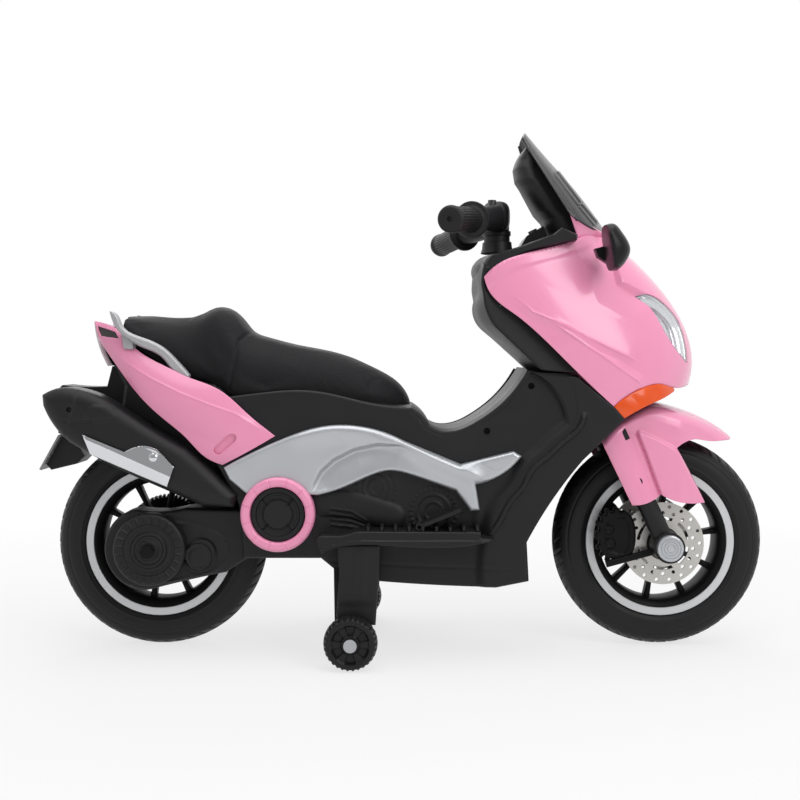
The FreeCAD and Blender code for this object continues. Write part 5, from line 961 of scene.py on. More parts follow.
def slotLoop(start, end, half, count=14):  # stadium outline round a line of pixels
    start, end = np.array(start), np.array(end)
    heading = math.atan2(*(end - start)[::-1])
    a = np.linspace(-np.pi / 2, np.pi / 2, count)
    cap = lambda centre, turn: centre + half * np.stack([np.cos(a + turn), np.sin(a + turn)], -1)
    return np.concatenate([cap(end, heading), cap(start, heading + np.pi)])


tailDomain = np.array([110.0, 330.0])
tailBorder = shareBorder(0, 100)
slotPixels = slotLoop(*tail["slot"])
slotShares = sharesAt(tailPixel, slotPixels, 0.0, 0.01)
windowPixels = loopThrough([[p] for p in tail["window"]], 1.0)
windowShares = sharesAt(tailPixel, windowPixels, 0.0, 0.01)
foldRows = besideLine(tail["ridge"][0], (-3, -1.6, -0.7, 0, 0.7, 1.6, 3))
foldShares = sharesAt(tailPixel, foldRows, 0.0, 0.01) * tailDomain
flat, triangles = filled([tailBorder * tailDomain, slotShares * tailDomain, windowShares * tailDomain], 3.0,
                         (0.8, 2.0), foldShares)
st = np.clip(flat / tailDomain, 0, 1)
panel = facing((tailSurface(st[:, 0], st[:, 1]), [triangles]), (0, -1, 0))
makePiece("rearPanels", bothSides(panel), "glossPinkAbs", "frame",
          ["rear_panels"], merge=False, sharp=60, wall=tail["wall"])
wells = []
for shares, depth in ((slotShares, 4.6), (windowShares, 2.4)):
    rings = np.stack([tailSurface(shares[:, 0], shares[:, 1], -lift) for lift in (0.4, depth)])
    floorFlat, floorTriangles = filled([shares * tailDomain], 2.0, ())
    floorShares = floorFlat / tailDomain
    ground = (tailSurface(floorShares[:, 0], floorShares[:, 1], -depth), [floorTriangles])
    wells.append((gridPatch(rings, closeColumns=True), facing(ground, (0, -1, 0))))
slotWell = joined(wells[0])
makePiece("panelVents", bothSides(slotWell), "glossPinkAbs", "frame", sharp=50)
window = joined(wells[1])
makePiece("tailWindows", bothSides(window), "darkSmokeAcrylic", "frame", sharp=50)

# Skins over the body's sides: wing, beads, parting line and the engine's relief
skin = {
    "outline": [[(262, 392.5), (300, 390), (335, 394.5), (370, 403), (411, 407.5)],
                [(420, 413.5), (429, 425.5)],
                [(441, 430.8), (455, 430.5), (478, 420.5), (503, 401.5), (527, 370)],
                [(577, 375)], [(615, 406.5)], [(625.5, 418.5)], [(582.5, 460)],
                [(555.5, 494.5), (526.5, 541.8)], [(528.5, 580.5)], [(495.5, 587)],
                [(404, 583), (345.5, 578)],
                [(321, 558)], [(244, 558)], [(239, 505)], [(215.5, 462)], [(227, 397)]],
    "face": 104.0, "base": 4.0, "wingRise": 11.0, "edge": 4.0, "back": 103.6, "screwRadius": 3.0,
    "hollow": ((495, 436), (42, 20), 3.0), "pocket": ((318, 478), (470, 536), 2.2), "beadRise": 5.0,
    "beadHalf": 2.5,
    "wing": [(560, 360), (571, 382), (577, 402), (575, 420), (558, 436), (540, 453), (524, 469), (517, 483),
             (502, 501), (490, 530), (487, 592)],
    "bead": [(583, 411), (578, 427), (562, 441), (546, 456), (529.5, 471), (522.5, 485), (509, 501),
             (501, 516), (485, 538)],
    "tunnel": [(412, 406), (421, 412.5), (430, 425), (441, 429.8), (455, 429.5), (478, 419.5), (503, 400.5),
               (528, 368)],
    "rings": [((377, 487), 19.0, 22), ((433, 511), 23.0, 28)],
    "capsule": [(322, 503), (350, 504), (392, 517)],
    "fins": [[(331, 508 + 5.5 * k), (352, 511 + 5.2 * k), (366, 520 + 3.2 * k)] for k in range(4)],
    "sweep": [(412, 530), (430, 519), (446, 513), (463, 510.5)],
    "sill": [(330, 561), (420, 566), (500, 568), (528, 566)], "screws": [(531, 386), (487, 431)],
}


def skinRight(uv, d):
    # Height over the body's side face, the sum of: a rounded edge, a hollow under the tunnel, a wing that
    # rises ahead of its line, beads, two toothed rings, a capsule, fins and a crease over the sill.
    u, v = uv[:, 0], uv[:, 1]
    (cu, cv), (reachU, reachV), depth = skin["hollow"]
    height = skin["base"] - depth * np.exp(-((u - cu) / reachU) ** 2 - ((v - cv) / reachV) ** 2)
    w, _ = lineDistance(uv, spline(skin["wing"], np.linspace(0, 1, 60)))
    height = height + skin["wingRise"] * smooth(12, 0, w)
    part, share = lineDistance(uv, skin["tunnel"])
    height = height - 1.0 * hill(np.abs(part) - 5, 0.8) * (share > 0.001) * (share < 0.999)
    bead, share = lineDistance(uv, spline(skin["bead"], np.linspace(0, 1, 40)))
    height = height + skin["beadRise"] * hill(bead, skin["beadHalf"], 6) * fading(share, 0.04, 0.96)
    (left, right), (top, foot), depth = skin["pocket"]
    across = smooth(left, left + 8, u) * smooth(right, right - 8, u)
    height = height - depth * across * smooth(top, top + 8, v) * smooth(foot, foot - 6, v)
    for (cu, cv), size, teeth in skin["rings"]:
        r = np.hypot(u - cu, v - cv)
        tooth = 0.7 + 0.3 * np.tanh(4 * np.sin(teeth * np.arctan2(v - cv, u - cu)))
        height = height + 1.3 * hill(r - size, 2.1, 4) * tooth + 1.4 * hill(r - size * 0.72, 1.3)
        height = height + 1.2 * hill(r - size * 0.4, 1.2)
    tube = np.abs(lineDistance(uv, skin["capsule"])[0])
    height = np.maximum(height, 1.6 + 5.5 * np.sqrt(np.clip(1 - (tube / 13.5) ** 2, 0, 1)))
    for fin in skin["fins"]:
        height = height + 1.6 * tent(lineDistance(uv, fin)[0], 1.7)
    height = height + 1.2 * hill(lineDistance(uv, skin["sweep"])[0], 1.2)
    height = height - 0.8 * hill(lineDistance(uv, skin["sill"])[0], 1.4)
    for cu, cv in skin["screws"]:
        height = height * smooth(skin["screwRadius"] - 0.3, skin["screwRadius"] + 0.3,
                                 np.hypot(u - cu, v - cv))
    return skin["face"] + 0.5 + np.maximum(height - 0.5, 0.1) * rounding(d, skin["edge"])


holeRows = [rounds(centre, (2.2, 2.7, 3.0, 3.3, 3.8)) for centre in skin["screws"]]
beadRows = besideLine(spline(skin["bead"], np.linspace(0, 1, 40)), (-3.2, -2.6, -2.0, 0, 2.0, 2.6, 3.2))
reliefRows = np.concatenate(holeRows + [beadRows])
patch = panelPatch(skin["outline"], skinRight, skin["back"], 1.25, rims=(0.5, 1.2, 2.2), readAt=skin["face"],
                   extra=reliefRows)
makePiece("bodySkins", bothSides(patch), "grainedBlackPolypropylene", "frame", sharp=45)

# Silver side trims
trim = {
    "outline": [
        [(240, 458.5), (275, 442), (302, 431.5), (333, 425.3), (363, 427), (390, 434.5), (404, 441)],
        [(461, 464.5)], [(514, 451.5)], [(522, 456.5)], [(509, 470), (476, 485)], [(480, 510.5)],
        [(471, 511.5)], [(456, 491)],
        [(424, 479.5), (404, 473), (389, 471), (373, 475), (342, 488.5), (318, 495.5)],
        [(246, 494)], [(229, 480)], [(223, 468)]],
    "readAt": 118.0, "outer": 121.0, "back": 104.5, "edgeRound": 5.0,
    # arched channel from the ring over the top and down to the front: its line and depth
    "channel": ([(308, 503), (317, 484), (323, 473), (335, 462), (355, 452), (378, 447), (400, 447.5),
                 (430, 460), (470, 480)], 8.5),
    "ridge": [(404, 444), (434, 456), (461, 467), (486, 480)],
    "crest": [(300, 436), (335, 430), (368, 434), (395, 447), (430, 459), (470, 476)],
}
ring = {"centre": place((277.6, 514.7), 125.0), "outer": 52.0, "inner": 38.6, "seat": 104.5}


def trimRight(uv, d):
    # Rounded edge, an arched channel under the crest, a ridge along the front arm, a swell on the crest.
    height = trim["outer"] - trim["edgeRound"] * (1 - rounding(d, trim["edgeRound"]))
    c, along = lineDistance(uv, trim["channel"][0])
    fade = smooth(0.02, 0.16, along) * smooth(0.85, 0.4, along)
    groove = np.where(c < 0, hill(c, 2.6), hill(c, 15.0))
    f, _ = lineDistance(uv, trim["ridge"])
    height = height + 3.4 * tent(f, 13) * smooth(395, 430, uv[:, 0]) * np.minimum(d / 8, 1)
    k, _ = lineDistance(uv, trim["crest"])
    swell = 2.0 * hill(k, 9.0)
    return height + np.minimum(d / 6, 1) * (swell - trim["channel"][1] * fade * groove) - 2.0


patch = panelPatch(trim["outline"], trimRight, trim["back"], 1.6, readAt=trim["readAt"],
                   extra=besideLine(trim["ridge"], (-1.6, -0.7, 0, 0.7, 1.6)))
makePiece("sideTrims", bothSides(patch), "silverLacquer", "frame", ["side_trims"], sharp=45)

# Pink rings with twelve notches, and black caps with four spokes
ringProfile = spline([(ring["inner"], 127.5), (40.0, 129.8), (42.5, 130.8), (45.3, 131.0), (48.5, 130.6),
                      (50.8, 129.0), (ring["outer"], 126.5)], np.linspace(0, 1, 24))
ringFoot = [(ring["inner"], ring["seat"])]
ringProfile = np.concatenate([ringFoot, ringProfile, [(ring["outer"], ring["seat"])], ringFoot])
steps = 360
patch = turnedPatch(ringProfile, ring["centre"], steps)
points = patch[0].reshape(len(ringProfile), steps, 3)
around = turns(steps)
notch = tent(teeth(around, 12), 0.03)
points[:, :, 1] += 0.9 * notch * (points[:, :, 1] < -126)
ringPatch = (points.reshape(-1, 3), patch[1])
makePiece("engineRings", bothSides(ringPatch), "glossPinkAbs", "frame",
          ["engine_rings"], sharp=50)

engineCap = {"radius": 37.9, "face": 123.5, "spokes": 4, "spokeHalf": 2.2, "spokeRise": 2.2}
rr, aa = everyPair(np.concatenate([[0], np.linspace(2, engineCap["radius"], 60)]), turns(240))
aside = np.abs(teeth(aa, engineCap["spokes"])) * rr * 2 * np.pi / engineCap["spokes"]
spoke = np.clip(1 - aside / engineCap["spokeHalf"], 0, 1) * (rr > 19)
stepDown = 3.2 * smooth(31.5, 29.0, rr) - 2.4 * smooth(21.0, 19.5, rr)
stepDown = stepDown + 1.0 * smooth(27, 26, rr) * smooth(22, 23, rr)
capRight = engineCap["face"] - stepDown + engineCap["spokeRise"] * spoke * (rr < 29)
capRight = capRight - 1.2 * smooth(36.5, engineCap["radius"], rr)
face = np.stack([ring["centre"][0] + rr * np.cos(aa), -capRight, ring["centre"][2] + rr * np.sin(aa)], -1)
backRing = face[-1:].copy()
backRing[..., 1] = -ring["seat"]
backMid = backRing.copy()
backMid[..., 0], backMid[..., 2] = ring["centre"][0], ring["centre"][2]
capPatch = gridPatch(np.concatenate([face, backRing, backMid]), closeColumns=True)
makePiece("engineCaps", bothSides(capPatch), "grainedBlackPolypropylene", "frame",
          ["engine_caps"], sharp=40)
print("sides made")

# Muffler and chrome heat shield
muffler = {
    "outline": [[(68, 387), (84, 389.5), (118, 405)], [(150, 426), (188, 448)], [(214, 471), (239, 494)],
                [(235, 506.5)], [(203, 504.5)], [(166, 488.5), (120, 468), (72, 441.5)],
                [(56, 424), (46, 405)], [(45, 394.5)]],
    "outer": 126.0, "inner": 72.0, "round": 16.0, "readAt": 98.0,
    "shield": [[(124.5, 452)], [(141, 446), (157, 449.5)], [(174, 467)], [(167, 487)],
               [(120, 467), (90, 454)], [(82, 434.5)]],
    "shieldOuter": 130.2, "shieldBack": 126.4, "sleeve": [(84, 380), (74, 420), (62, 450)],
    "groove": [(66, 420), (92, 420.5), (120, 417)],
    "fold": [(76, 429), (86, 440), (126, 457.5), (156, 471), (178, 481)],
    "bolt": (153, 457), "hole": (74, 409),
}


def mufflerRight(uv, d):
    # Rounded barrel, a raised end sleeve, a groove along it and a drain hole in the sleeve.
    height = muffler["outer"] - muffler["round"] * (1 - rounding(d, muffler["round"] * 1.3)) - 2.2
    sleeve, _ = lineDistance(uv, muffler["sleeve"])
    groove, share = lineDistance(uv, muffler["groove"])
    swell = np.hypot((uv[:, 0] - 104) / 16, (uv[:, 1] - 413) / 9)
    hole = np.hypot(uv[:, 0] - muffler["hole"][0], uv[:, 1] - muffler["hole"][1])
    height = height + 1.6 * smooth(-1, 1, sleeve) - 1.2 * hill(groove, 1.1) * fading(share, 0.1, 0.9)
    return height + 1.6 * smooth(1.0, 0.85, swell) - 5.0 * smooth(2.6, 1.6, hole)


def shieldRight(uv, d):  # folded plate: upper half leans back, lower half turns to the floor, a bolt boss
    c, _ = lineDistance(uv, muffler["fold"])
    boss = np.hypot(uv[:, 0] - muffler["bolt"][0], uv[:, 1] - muffler["bolt"][1])
    height = muffler["shieldOuter"] - 1.0 * (1 - rounding(d, 1.4))
    height = height - np.clip(c * 0.3, 0, 3.0) - np.clip(-c * 0.2, 0, 3.0)
    return height + 1.5 * np.clip(1 - (boss / 4.4) ** 2, 0, 1)


reliefRows = np.concatenate([rounds(muffler["hole"], (0.8, 1.6, 2.1, 2.6, 3.2)),
                             besideLine(muffler["groove"], (-1.6, -0.8, 0, 0.8, 1.6))])
patch = panelPatch(muffler["outline"], mufflerRight, muffler["inner"], 1.8, readAt=muffler["readAt"],
                   extra=reliefRows)
makePiece("mufflerBody", patch, "grainedBlackPolypropylene", "frame", ["muffler"], sharp=45)
reliefRows = np.concatenate([rounds(muffler["bolt"], (1.2, 2.2, 3.2, 4.0, 4.4, 4.9)),
                             besideLine(muffler["fold"], (-1.5, -0.6, 0, 0.6, 1.5))])
patch = panelPatch(muffler["shield"], shieldRight, muffler["shieldBack"], 1.5, extra=reliefRows)
makePiece("heatShield", patch, "chromePlate", "frame", ["muffler_heat_shield"], sharp=40)

# Grab rails
rail = {"outline": [[(115, 312.5), (121.5, 325), (142, 337.5), (164, 348), (179, 362.5), (190, 375)],
                    [(188, 384)], [(180, 384)], [(172, 371), (160, 356), (140, 346.5), (124, 337)],
                    [(115.5, 327), (109.5, 311)]],
        "foot": [[(121, 331)], [(134, 341.5)], [(134, 350)], [(124, 349)]],
        "outer": 101.0, "inner": 88.0, "round": 5.0}


def railRight(uv, d):  # flat with rounded edges
    return rail["outer"] - rail["round"] * (1 - rounding(d, rail["round"]))


patch = panelPatch(rail["outline"], railRight, rail["inner"], 1.8)
foot = pillowPatch(rail["foot"], [(76.0, 1.0), (78.0, 0.0), (90.0, 0.0), (92.0, 1.0)], rail["inner"])
patch = joined([patch, foot])
makePiece("grabRails", bothSides(patch), "satinGreyPaint", "frame", ["grab_rails"], sharp=45)
print("tail made")

# Drive covers with tick ribs and stepped middles
driveCover = {"radius": 51.0, "start": 93.3, "face": 117.0, "ticks": 24}
rr, aa = everyPair(np.concatenate([[0.01], np.linspace(1, driveCover["radius"], 90)]), turns(360))
tick = np.clip(1.6 - np.abs(teeth(aa, driveCover["ticks"])) * rr * 2 * np.pi / driveCover["ticks"], 0, 1)
# rounded edge, a step down inside the ticks, two steps up to the middle and two grooves
high = (driveCover["face"] - 5.0 * (1 - rounding(driveCover["radius"] - rr, 6.0))
        - 1.6 * smooth(36.5, 35.5, rr) + 1.4 * tick * smooth(37, 38, rr) * smooth(47.5, 46.5, rr)
        + 3.2 * smooth(26.5, 24, rr) + 3.6 * smooth(15.5, 12.5, rr)
        - 0.9 * hill(rr - 19.5, 0.9) - 0.7 * hill(rr - 31, 1.0))
face = np.stack([rearAxle[0] + rr * np.cos(aa), -high, rearAxle[2] + rr * np.sin(aa)], -1)
foot = face[-1:] * [1, 0, 1] - [0, driveCover["start"], 0]
middle = foot * 0 + [rearAxle[0], -driveCover["start"], rearAxle[2]]
coverPatch = gridPatch(np.concatenate([face, foot, middle]), closeColumns=True)
makePiece("driveCovers", bothSides(coverPatch), "grainedBlackPolypropylene", "frame",
          ["drive_covers"], sharp=40)

# Cases over the swing arms: a teardrop rim round the small boss, seams
arm = {"outline": [[(166, 512.5), (186, 509)], [(247, 510)], [(251, 555)], [(226, 571.5)],
                   [(186, 580), (150, 589)], [(121, 581), (105, 553), (113, 525), (138, 511)]],
       "face": 93.0, "rise": 2.6, "back": 91.5,
       "tear": [(170, 522), (205, 527), (224, 538), (229, 552), (220, 568), (196, 577), (160, 583)],
       "boss": (199.5, 555.5)}


def armRight(uv, d):
    tear, _ = lineDistance(uv, spline(arm["tear"], np.linspace(0, 1, 60)))
    r = np.hypot(uv[:, 0] - arm["boss"][0], uv[:, 1] - arm["boss"][1])
    height = arm["rise"] + 1.8 * smooth(-1.2, 1.2, tear) + 1.0 * hill(tear - 1, 1.6)
    height = height + 7.0 * smooth(14.5, 13.0, r) - 1.2 * hill(r - 10, 1.0) - 1.0 * hill(r - 17, 1.2)
    return arm["face"] + 0.4 + np.maximum(height, 0.2) * rounding(d, 4.0)


patch = panelPatch(arm["outline"], armRight, arm["back"], 1.5, rims=(0.6, 1.4, 2.6), readAt=arm["face"])
makePiece("armCases", bothSides(patch), "grainedBlackPolypropylene", "frame", sharp=45)

# Footboards: side outline with its wavy lower edge carried to the body, and ribs across the tread
board = {"outline": [[(317.5, 538.5), (338, 536.5), (357, 532)], [(481, 532.6)], [(481.5, 538.5)],
                     [(495, 540)],
                     [(480, 544.5), (456, 547.5), (400, 547), (350, 546.2), (334, 549), (322, 554)]],
         "outer": 156.5, "back": 104.5, "edge": 2.4,
         "lip": [(322, 548), (350, 541.5), (400, 541), (495, 541.5)]}
rib = {"first": 368.0, "last": 478.0, "count": 9, "v": 530.2, "right": 129.0, "half": (2.7, 23.0, 4.0),
       "power": 5.0}


def boardRight(uv, d):  # rounded edge and a step along the lip
    lip, _ = lineDistance(uv, board["lip"])
    return board["outer"] - 2.0 * smooth(0.8, -0.8, lip) - board["edge"] * (1 - rounding(d, board["edge"]))


deck = panelPatch(board["outline"], boardRight, board["back"], 1.6, readAt=board["outer"])
lat, lon = everyPair(np.linspace(-np.pi / 2, np.pi / 2, 13), turns(32))
bent = lambda v: squared(v, 2 / rib["power"])
unit = np.stack([bent(np.cos(lat)) * bent(np.cos(lon)), bent(np.cos(lat)) * bent(np.sin(lon)),
                 bent(np.sin(lat))], -1) * rib["half"]
ribU = np.linspace(rib["first"], rib["last"], rib["count"])
middle = place(np.stack([ribU, 0 * ribU + rib["v"]], -1), board["outer"])
middle[:, 1] = -rib["right"]
ribs = [gridPatch(unit + centre, closeColumns=True) for centre in middle]
deck = joined([deck] + ribs)
makePiece("footboardDecks", bothSides(deck), "grainedBlackPolypropylene", "frame",
          ["footboards"], sharp=40)

# Sleeves over the stabiliser arms, with a rib down the middle
sleeve = {"outline": [[(337, 545)], [(380, 545)], [(379, 575)], [(375.5, 626)], [(346, 626)], [(336, 617)],
                      [(339.5, 575)]],
          "outer": 151.8, "back": 132.0, "edge": 3.0, "draw": 2.4, "rib": [(360, 556), (358, 612)]}


def sleeveRight(uv, d):  # rounded edges, a low rib, drawn in behind the wheel
    rib, _ = lineDistance(uv, sleeve["rib"])
    height = sleeve["outer"] + 0.9 * smooth(7.0, 5.5, np.abs(rib)) * smooth(600, 592, uv[:, 1])
    height = height - sleeve["draw"] * smooth(598, 609, uv[:, 1])
    return height - sleeve["edge"] * (1 - rounding(d, sleeve["edge"]))


patch = panelPatch(sleeve["outline"], sleeveRight, sleeve["back"], 1.6, readAt=sleeve["outer"])
makePiece("armSleeves", bothSides(patch), "grainedBlackPolypropylene", "frame", sharp=40)

# Calipers with cooling bumps round the rim and two piston caps, and the rods that hold them
caliper = {"centre": (617, 536), "half": (19.5, 26.0), "bumps": 16, "bump": 1.7, "outer": 68.0,
           "inner": 53.0, "readAt": 68.0,
           "pistons": [(609.5, 530, 5.2), (610.5, 544, 5.6)],
           "rod": (((606, 564), 66.0), ((660, 549.5), 66.0), 5.0)}
around = turns(240)
bumps = caliper["bump"] / 20 * np.tanh(3 * np.cos(caliper["bumps"] * around))
grow = 1 + bumps * smooth(0.55, -0.1, np.cos(around))
caliperLoop = np.stack([squared(np.cos(around), 0.8), squared(np.sin(around), 0.8)], -1) * caliper["half"]
caliperLoop = np.array(caliper["centre"]) + caliperLoop * grow[:, None]


def caliperRight(uv, d):
    height = caliper["outer"] - 4.0 * (1 - rounding(d, 4.5)) - 2.5 * smooth(8.5, 10.5, d) - 1.5
    for u, v, size in caliper["pistons"]:
        r = np.hypot(uv[:, 0] - u, uv[:, 1] - v)
        height = height + 3.2 * smooth(size, size - 1.2, r) - 1.2 * smooth(size * 0.55, size * 0.4, r)
    return height


patch = panelPatch([[tuple(p)] for p in caliperLoop], caliperRight, caliper["inner"], 1.4, rims=(0.5, 1.3),
                   readAt=caliper["readAt"])
(rodStart, rodRight), (rodEnd, endRight), rodRadius = caliper["rod"]
rodLine = spline([place(rodStart, rodRight), place(rodEnd, endRight)], np.linspace(0, 1, 16))
rod = sweptPatch(rodLine, np.full(16, rodRadius), 24, power=2.6)
patch = joined([patch, rod])
makePiece("brakeCalipers", bothSides(patch), "satinBlackNylon", "steering",
          ["brake_calipers"], sharp=40)

# Fork end caps turned with rings
cap = {"profile": [(18.8, 98.3), (18.8, 102.6), (18.0, 104.2), (16.4, 105.0), (14.8, 105.0), (14.2, 104.0),
                   (13.4, 104.0), (12.8, 105.0), (10.6, 105.2), (10.0, 104.3), (9.2, 104.3), (8.6, 105.2),
                   (6.6, 105.3), (6.0, 104.5), (5.2, 104.5), (4.6, 105.3), (0.01, 105.6)]}
capTurned = turnedPatch(cap["profile"], frontAxle, 96)
makePiece("forkCaps", bothSides(capTurned), "silverLacquer", "steering", ["fork_caps"],
          sharp=30)

# Side wheels: dished faces, tread cuts across the edge
sideWheel = {"middle": 166.5, "cuts": 30, "cutDepth": 1.8, "centre": (-72.6, 0.0, 37.0),
             "profile": [(6.2, 151.5), (12, 151.5), (14, 153), (24, 153), (27, 150.8), (30, 150.2),
                         (33.5, 151.5), (35.6, 154.5), (36.7, 160), (37, 166.5), (36.7, 173), (35.6, 178.5),
                         (33.5, 181.5), (30, 182.8), (27, 182.2), (24, 179), (14, 179), (12, 181),
                         (6.2, 181), (6.2, 151.5)]}
steps = 360
profile = np.asarray(sideWheel["profile"], float)
points = turnedPatch(profile, np.array(sideWheel["centre"]), steps)[0].reshape(len(profile), steps, 3)
around = turns(steps)
tread = (profile[:, :1] > 34) * (np.abs(profile[:, 1:] - sideWheel["middle"]) > 5)
edgeCut = smooth(0.34, 0.28, np.abs(teeth(around, sideWheel["cuts"]))) * tread
web = smooth(0.3, 0.24, np.abs(teeth(around, 6))) * ((profile[:, :1] > 13) & (profile[:, :1] < 25))
shrink = 1 - edgeCut * sideWheel["cutDepth"] / 36
for axis in (0, 2):
    points[..., axis] = sideWheel["centre"][axis] + (points[..., axis] - sideWheel["centre"][axis]) * shrink
points[..., 1] += web * np.where(profile[:, 1:] > sideWheel["middle"] - 0.5, 3.0, -3.0)
wheelPatch = gridPatch(points, closeColumns=True)
for side, patch in (("right", wheelPatch), ("left", mirrored(wheelPatch))):
    makePiece("sideWheel" + side.title(), patch, "mouldedRubber", "stabiliser_" + side,
              ["side_wheel_" + side], sharp=40)
print("drive and side wheels made")

# Tyres: half-round walls, crowned tread with slanted cuts
tyre = {"bead": 104.3, "beadHalf": 27.0, "cuts": 54, "cutDepth": 2.2, "cutShare": 0.2, "ribDepth": 1.6,
        "wall": [(109.3, 27.0), (114, 30.2), (122, 31.8), (130, 31.4), (138, 29.0), (143.5, 26.2),
                 (147, 23.6)],
        "tread": [(147, 23.6), (150.8, 17), (153.8, 9), (155, 0)], "raisedRing": 117.0, "sunkRing": 136.0}
half = np.concatenate([[(tyre["bead"], 0), (tyre["bead"], tyre["beadHalf"])],
                       spline(tyre["wall"], np.linspace(0, 1, 44)),
                       spline(tyre["tread"], np.linspace(0, 1, 30)[1:])])
tyreProfile = np.concatenate([half, half[::-1][1:] * [1, -1]])


def tyrePatch(centre, steps=540):
    # Turned profile with slanted cuts across the tread, two grooves beside its middle and two rings on the
    # wall.
    points = turnedPatch(tyreProfile, centre, steps)[0].reshape(len(tyreProfile), steps, 3)
    radius, right = tyreProfile[:, :1], tyreProfile[:, 1:2]
    width = np.abs(right)
    phase = (turns(steps) * tyre["cuts"] / (2 * np.pi) + width / 30 + np.where(right > 0, 0.5, 0)) % 1
    cut = smooth(0, 0.06, phase) * smooth(tyre["cutShare"] + 0.06, tyre["cutShare"], phase)
    cut = cut * smooth(145.0, 147.5, radius) * smooth(3, 5, width)
    groove = smooth(1.6, 0.8, np.abs(width - 3.5)) * smooth(150, 152, radius)
    shrink = 1 - (cut * tyre["cutDepth"] + groove * tyre["ribDepth"]) / np.maximum(radius, 1)
    ringed = hill(radius - tyre["raisedRing"], 1.2) - hill(radius - tyre["sunkRing"], 1.2)
    points[..., 1] -= 0.9 * ringed * np.sign(right)
    for axis in (0, 2):
        points[..., axis] = centre[axis] + (points[..., axis] - centre[axis]) * shrink
    return gridPatch(points, closeColumns=True)


for name, centre in (("front", frontAxle), ("rear", rearAxle)):
    makePiece(name + "Tyre", tyrePatch(centre), "mouldedRubber", name + "_wheel",
              [name + "_tyre"],
              sharp=55)

# Rims: barrel and hub turned, ten ribs, and the bright edge on both faces
rim = {"barrel": [(88, -24), (89.5, -26.2), (97.2, -30.4), (98.4, -30.4), (103.5, -27.4), (103.5, 27.4),
                  (98.4, 30.4), (97.2, 30.4), (89.5, 26.2), (88, 24), (86.5, 12), (86.5, -12), (88, -24)],
       "edge": [(97.6, 30.2), (98.4, 31.0), (108.4, 31.0), (109, 30.4), (109, 27.4), (104, 27.4), (99, 29.5),
                (97.6, 30.2)],
       "bore": 6.3, "hub": 24.0, "hubEdge": 3.0, "spokes": 10, "firstSpoke": 8.0, "spokeStart": 22.0,
       "spokeEnd": 88.5,
       "spokeHalfWidth": 5.0, "spokeHalfDepth": 10.0}


def rimPatches(centre, hubRight, hubLeft):
    bore, hub, ease = rim["bore"], rim["hub"], rim["hubEdge"]
    hubProfile = [(bore, -hubLeft), (hub - ease, -hubLeft), (hub, ease - hubLeft), (hub, hubRight - ease),
                  (hub - ease, hubRight), (bore, hubRight), (bore, -hubLeft)]
    patches = [turnedPatch(rim["barrel"], centre, 192), turnedPatch(hubProfile, centre, 96)]
    start, end = rim["spokeStart"], rim["spokeEnd"]
    out = np.linspace(start, end, 12)
    waist = 1 - 0.25 * np.sin(np.pi * (out - start) / (end - start))
    angle = turns(24)
    ringX = squared(np.cos(angle), 0.5) * rim["spokeHalfWidth"]
    ringY = squared(np.sin(angle), 0.5) * rim["spokeHalfDepth"]
    for index in range(rim["spokes"]):
        a = math.radians(rim["firstSpoke"] + 360 * index / rim["spokes"])
        along, across = np.array([math.cos(a), 0, math.sin(a)]), np.array([-math.sin(a), 0, math.cos(a)])
        points = (centre + along * out[:, None, None] + across * (waist[:, None, None] * ringX[:, None])
                  + np.array([0, 1, 0]) * ringY[:, None])
        patches.append(gridPatch(points, closeColumns=True))
    lips = [turnedPatch([(radius, side * y) for radius, y in rim["edge"]], centre, 192) for side in (1, -1)]
    return joined(patches), joined(lips)


for name, centre, hub in (("front", frontAxle, (57.5, 57.5)), ("rear", rearAxle, (43.5, 34.2))):
    spokes, lips = rimPatches(centre, *hub)
    makePiece(name + "RimBody", spokes, "satinBlackNylon", name + "_wheel", [name + "_rim"],
              sharp=40)
    makePiece(name + "RimEdge", lips, "turnedSilverPaint", name + "_wheel", sharp=30)
print("wheels made")

# Seat: swollen by a cloth run, then the seam pressed in
seat = {
    "u": (410, 396, 370, 335, 300, 268, 251, 240, 226, 212, 192, 160, 132),
    "top": (399, 379, 366, 353.5, 346.5, 338.5, 331.5, 317.5, 307.5, 312, 319, 318, 314.5),
    "bottom": (410, 410, 408, 402, 396, 397, 399, 398, 388, 382, 376, 357, 336),
    "halfWidths": (30.0, 56.0, 73.0, 83.0, 89.0, 92.0, 93.0, 91.0, 85.0, 82.0, 81.0, 79.0, 68.0),
    "shrink": 3.0, "power": 3.2, "cap": 5.0, "pressure": 4.0, "voxel": 5.0, "frames": 20, "baseRight": 85.0,
    "fill": 0.7,
    "seam": [(249, 333), (239, 341), (231, 377), (228, 392)], "seamDepth": 2.6, "seamHalf": 2.4,
}


def seatPatch():
    # Superellipse over a flat base at each station, drawn in a little towards the base.
    share = np.linspace(0, 1, 110)
    keys = ("u", "top", "bottom", "halfWidths")
    u, top, bottom, halfWidth = [profileThrough(seat[key], share) for key in keys]
    halfWidth = halfWidth - seat["shrink"]
    crest = place(np.stack([u, top], -1), 0)
    base = place(np.stack([u, bottom], -1), halfWidth)[:, 2] + 0.3
    rise = crest[:, 2] - seat["shrink"] - base
    a = np.linspace(0, np.pi, 60)
    across = squared(np.cos(a), 2 / seat["power"])
    upward = np.sin(a) ** (2 / seat["power"])
    flat = np.linspace(-1, 1, 26)[1:-1]
    across = np.concatenate([across, flat])
    upward = np.concatenate([upward, 0 * flat])
    draw = 1 - 0.07 * np.clip(1 - upward / 0.45, 0, 1) ** 2
    points = np.stack([crest[:, 0][:, None] + 0 * across, halfWidth[:, None] * across * draw,
                       base[:, None] + rise[:, None] * upward], -1)
    ends = [np.repeat(points[k:k + 1].mean(1, keepdims=True), points.shape[1], 1)
            for k in (0, len(points) - 1)]
    return gridPatch(np.concatenate([ends[0], points, ends[1]]), closeColumns=True)


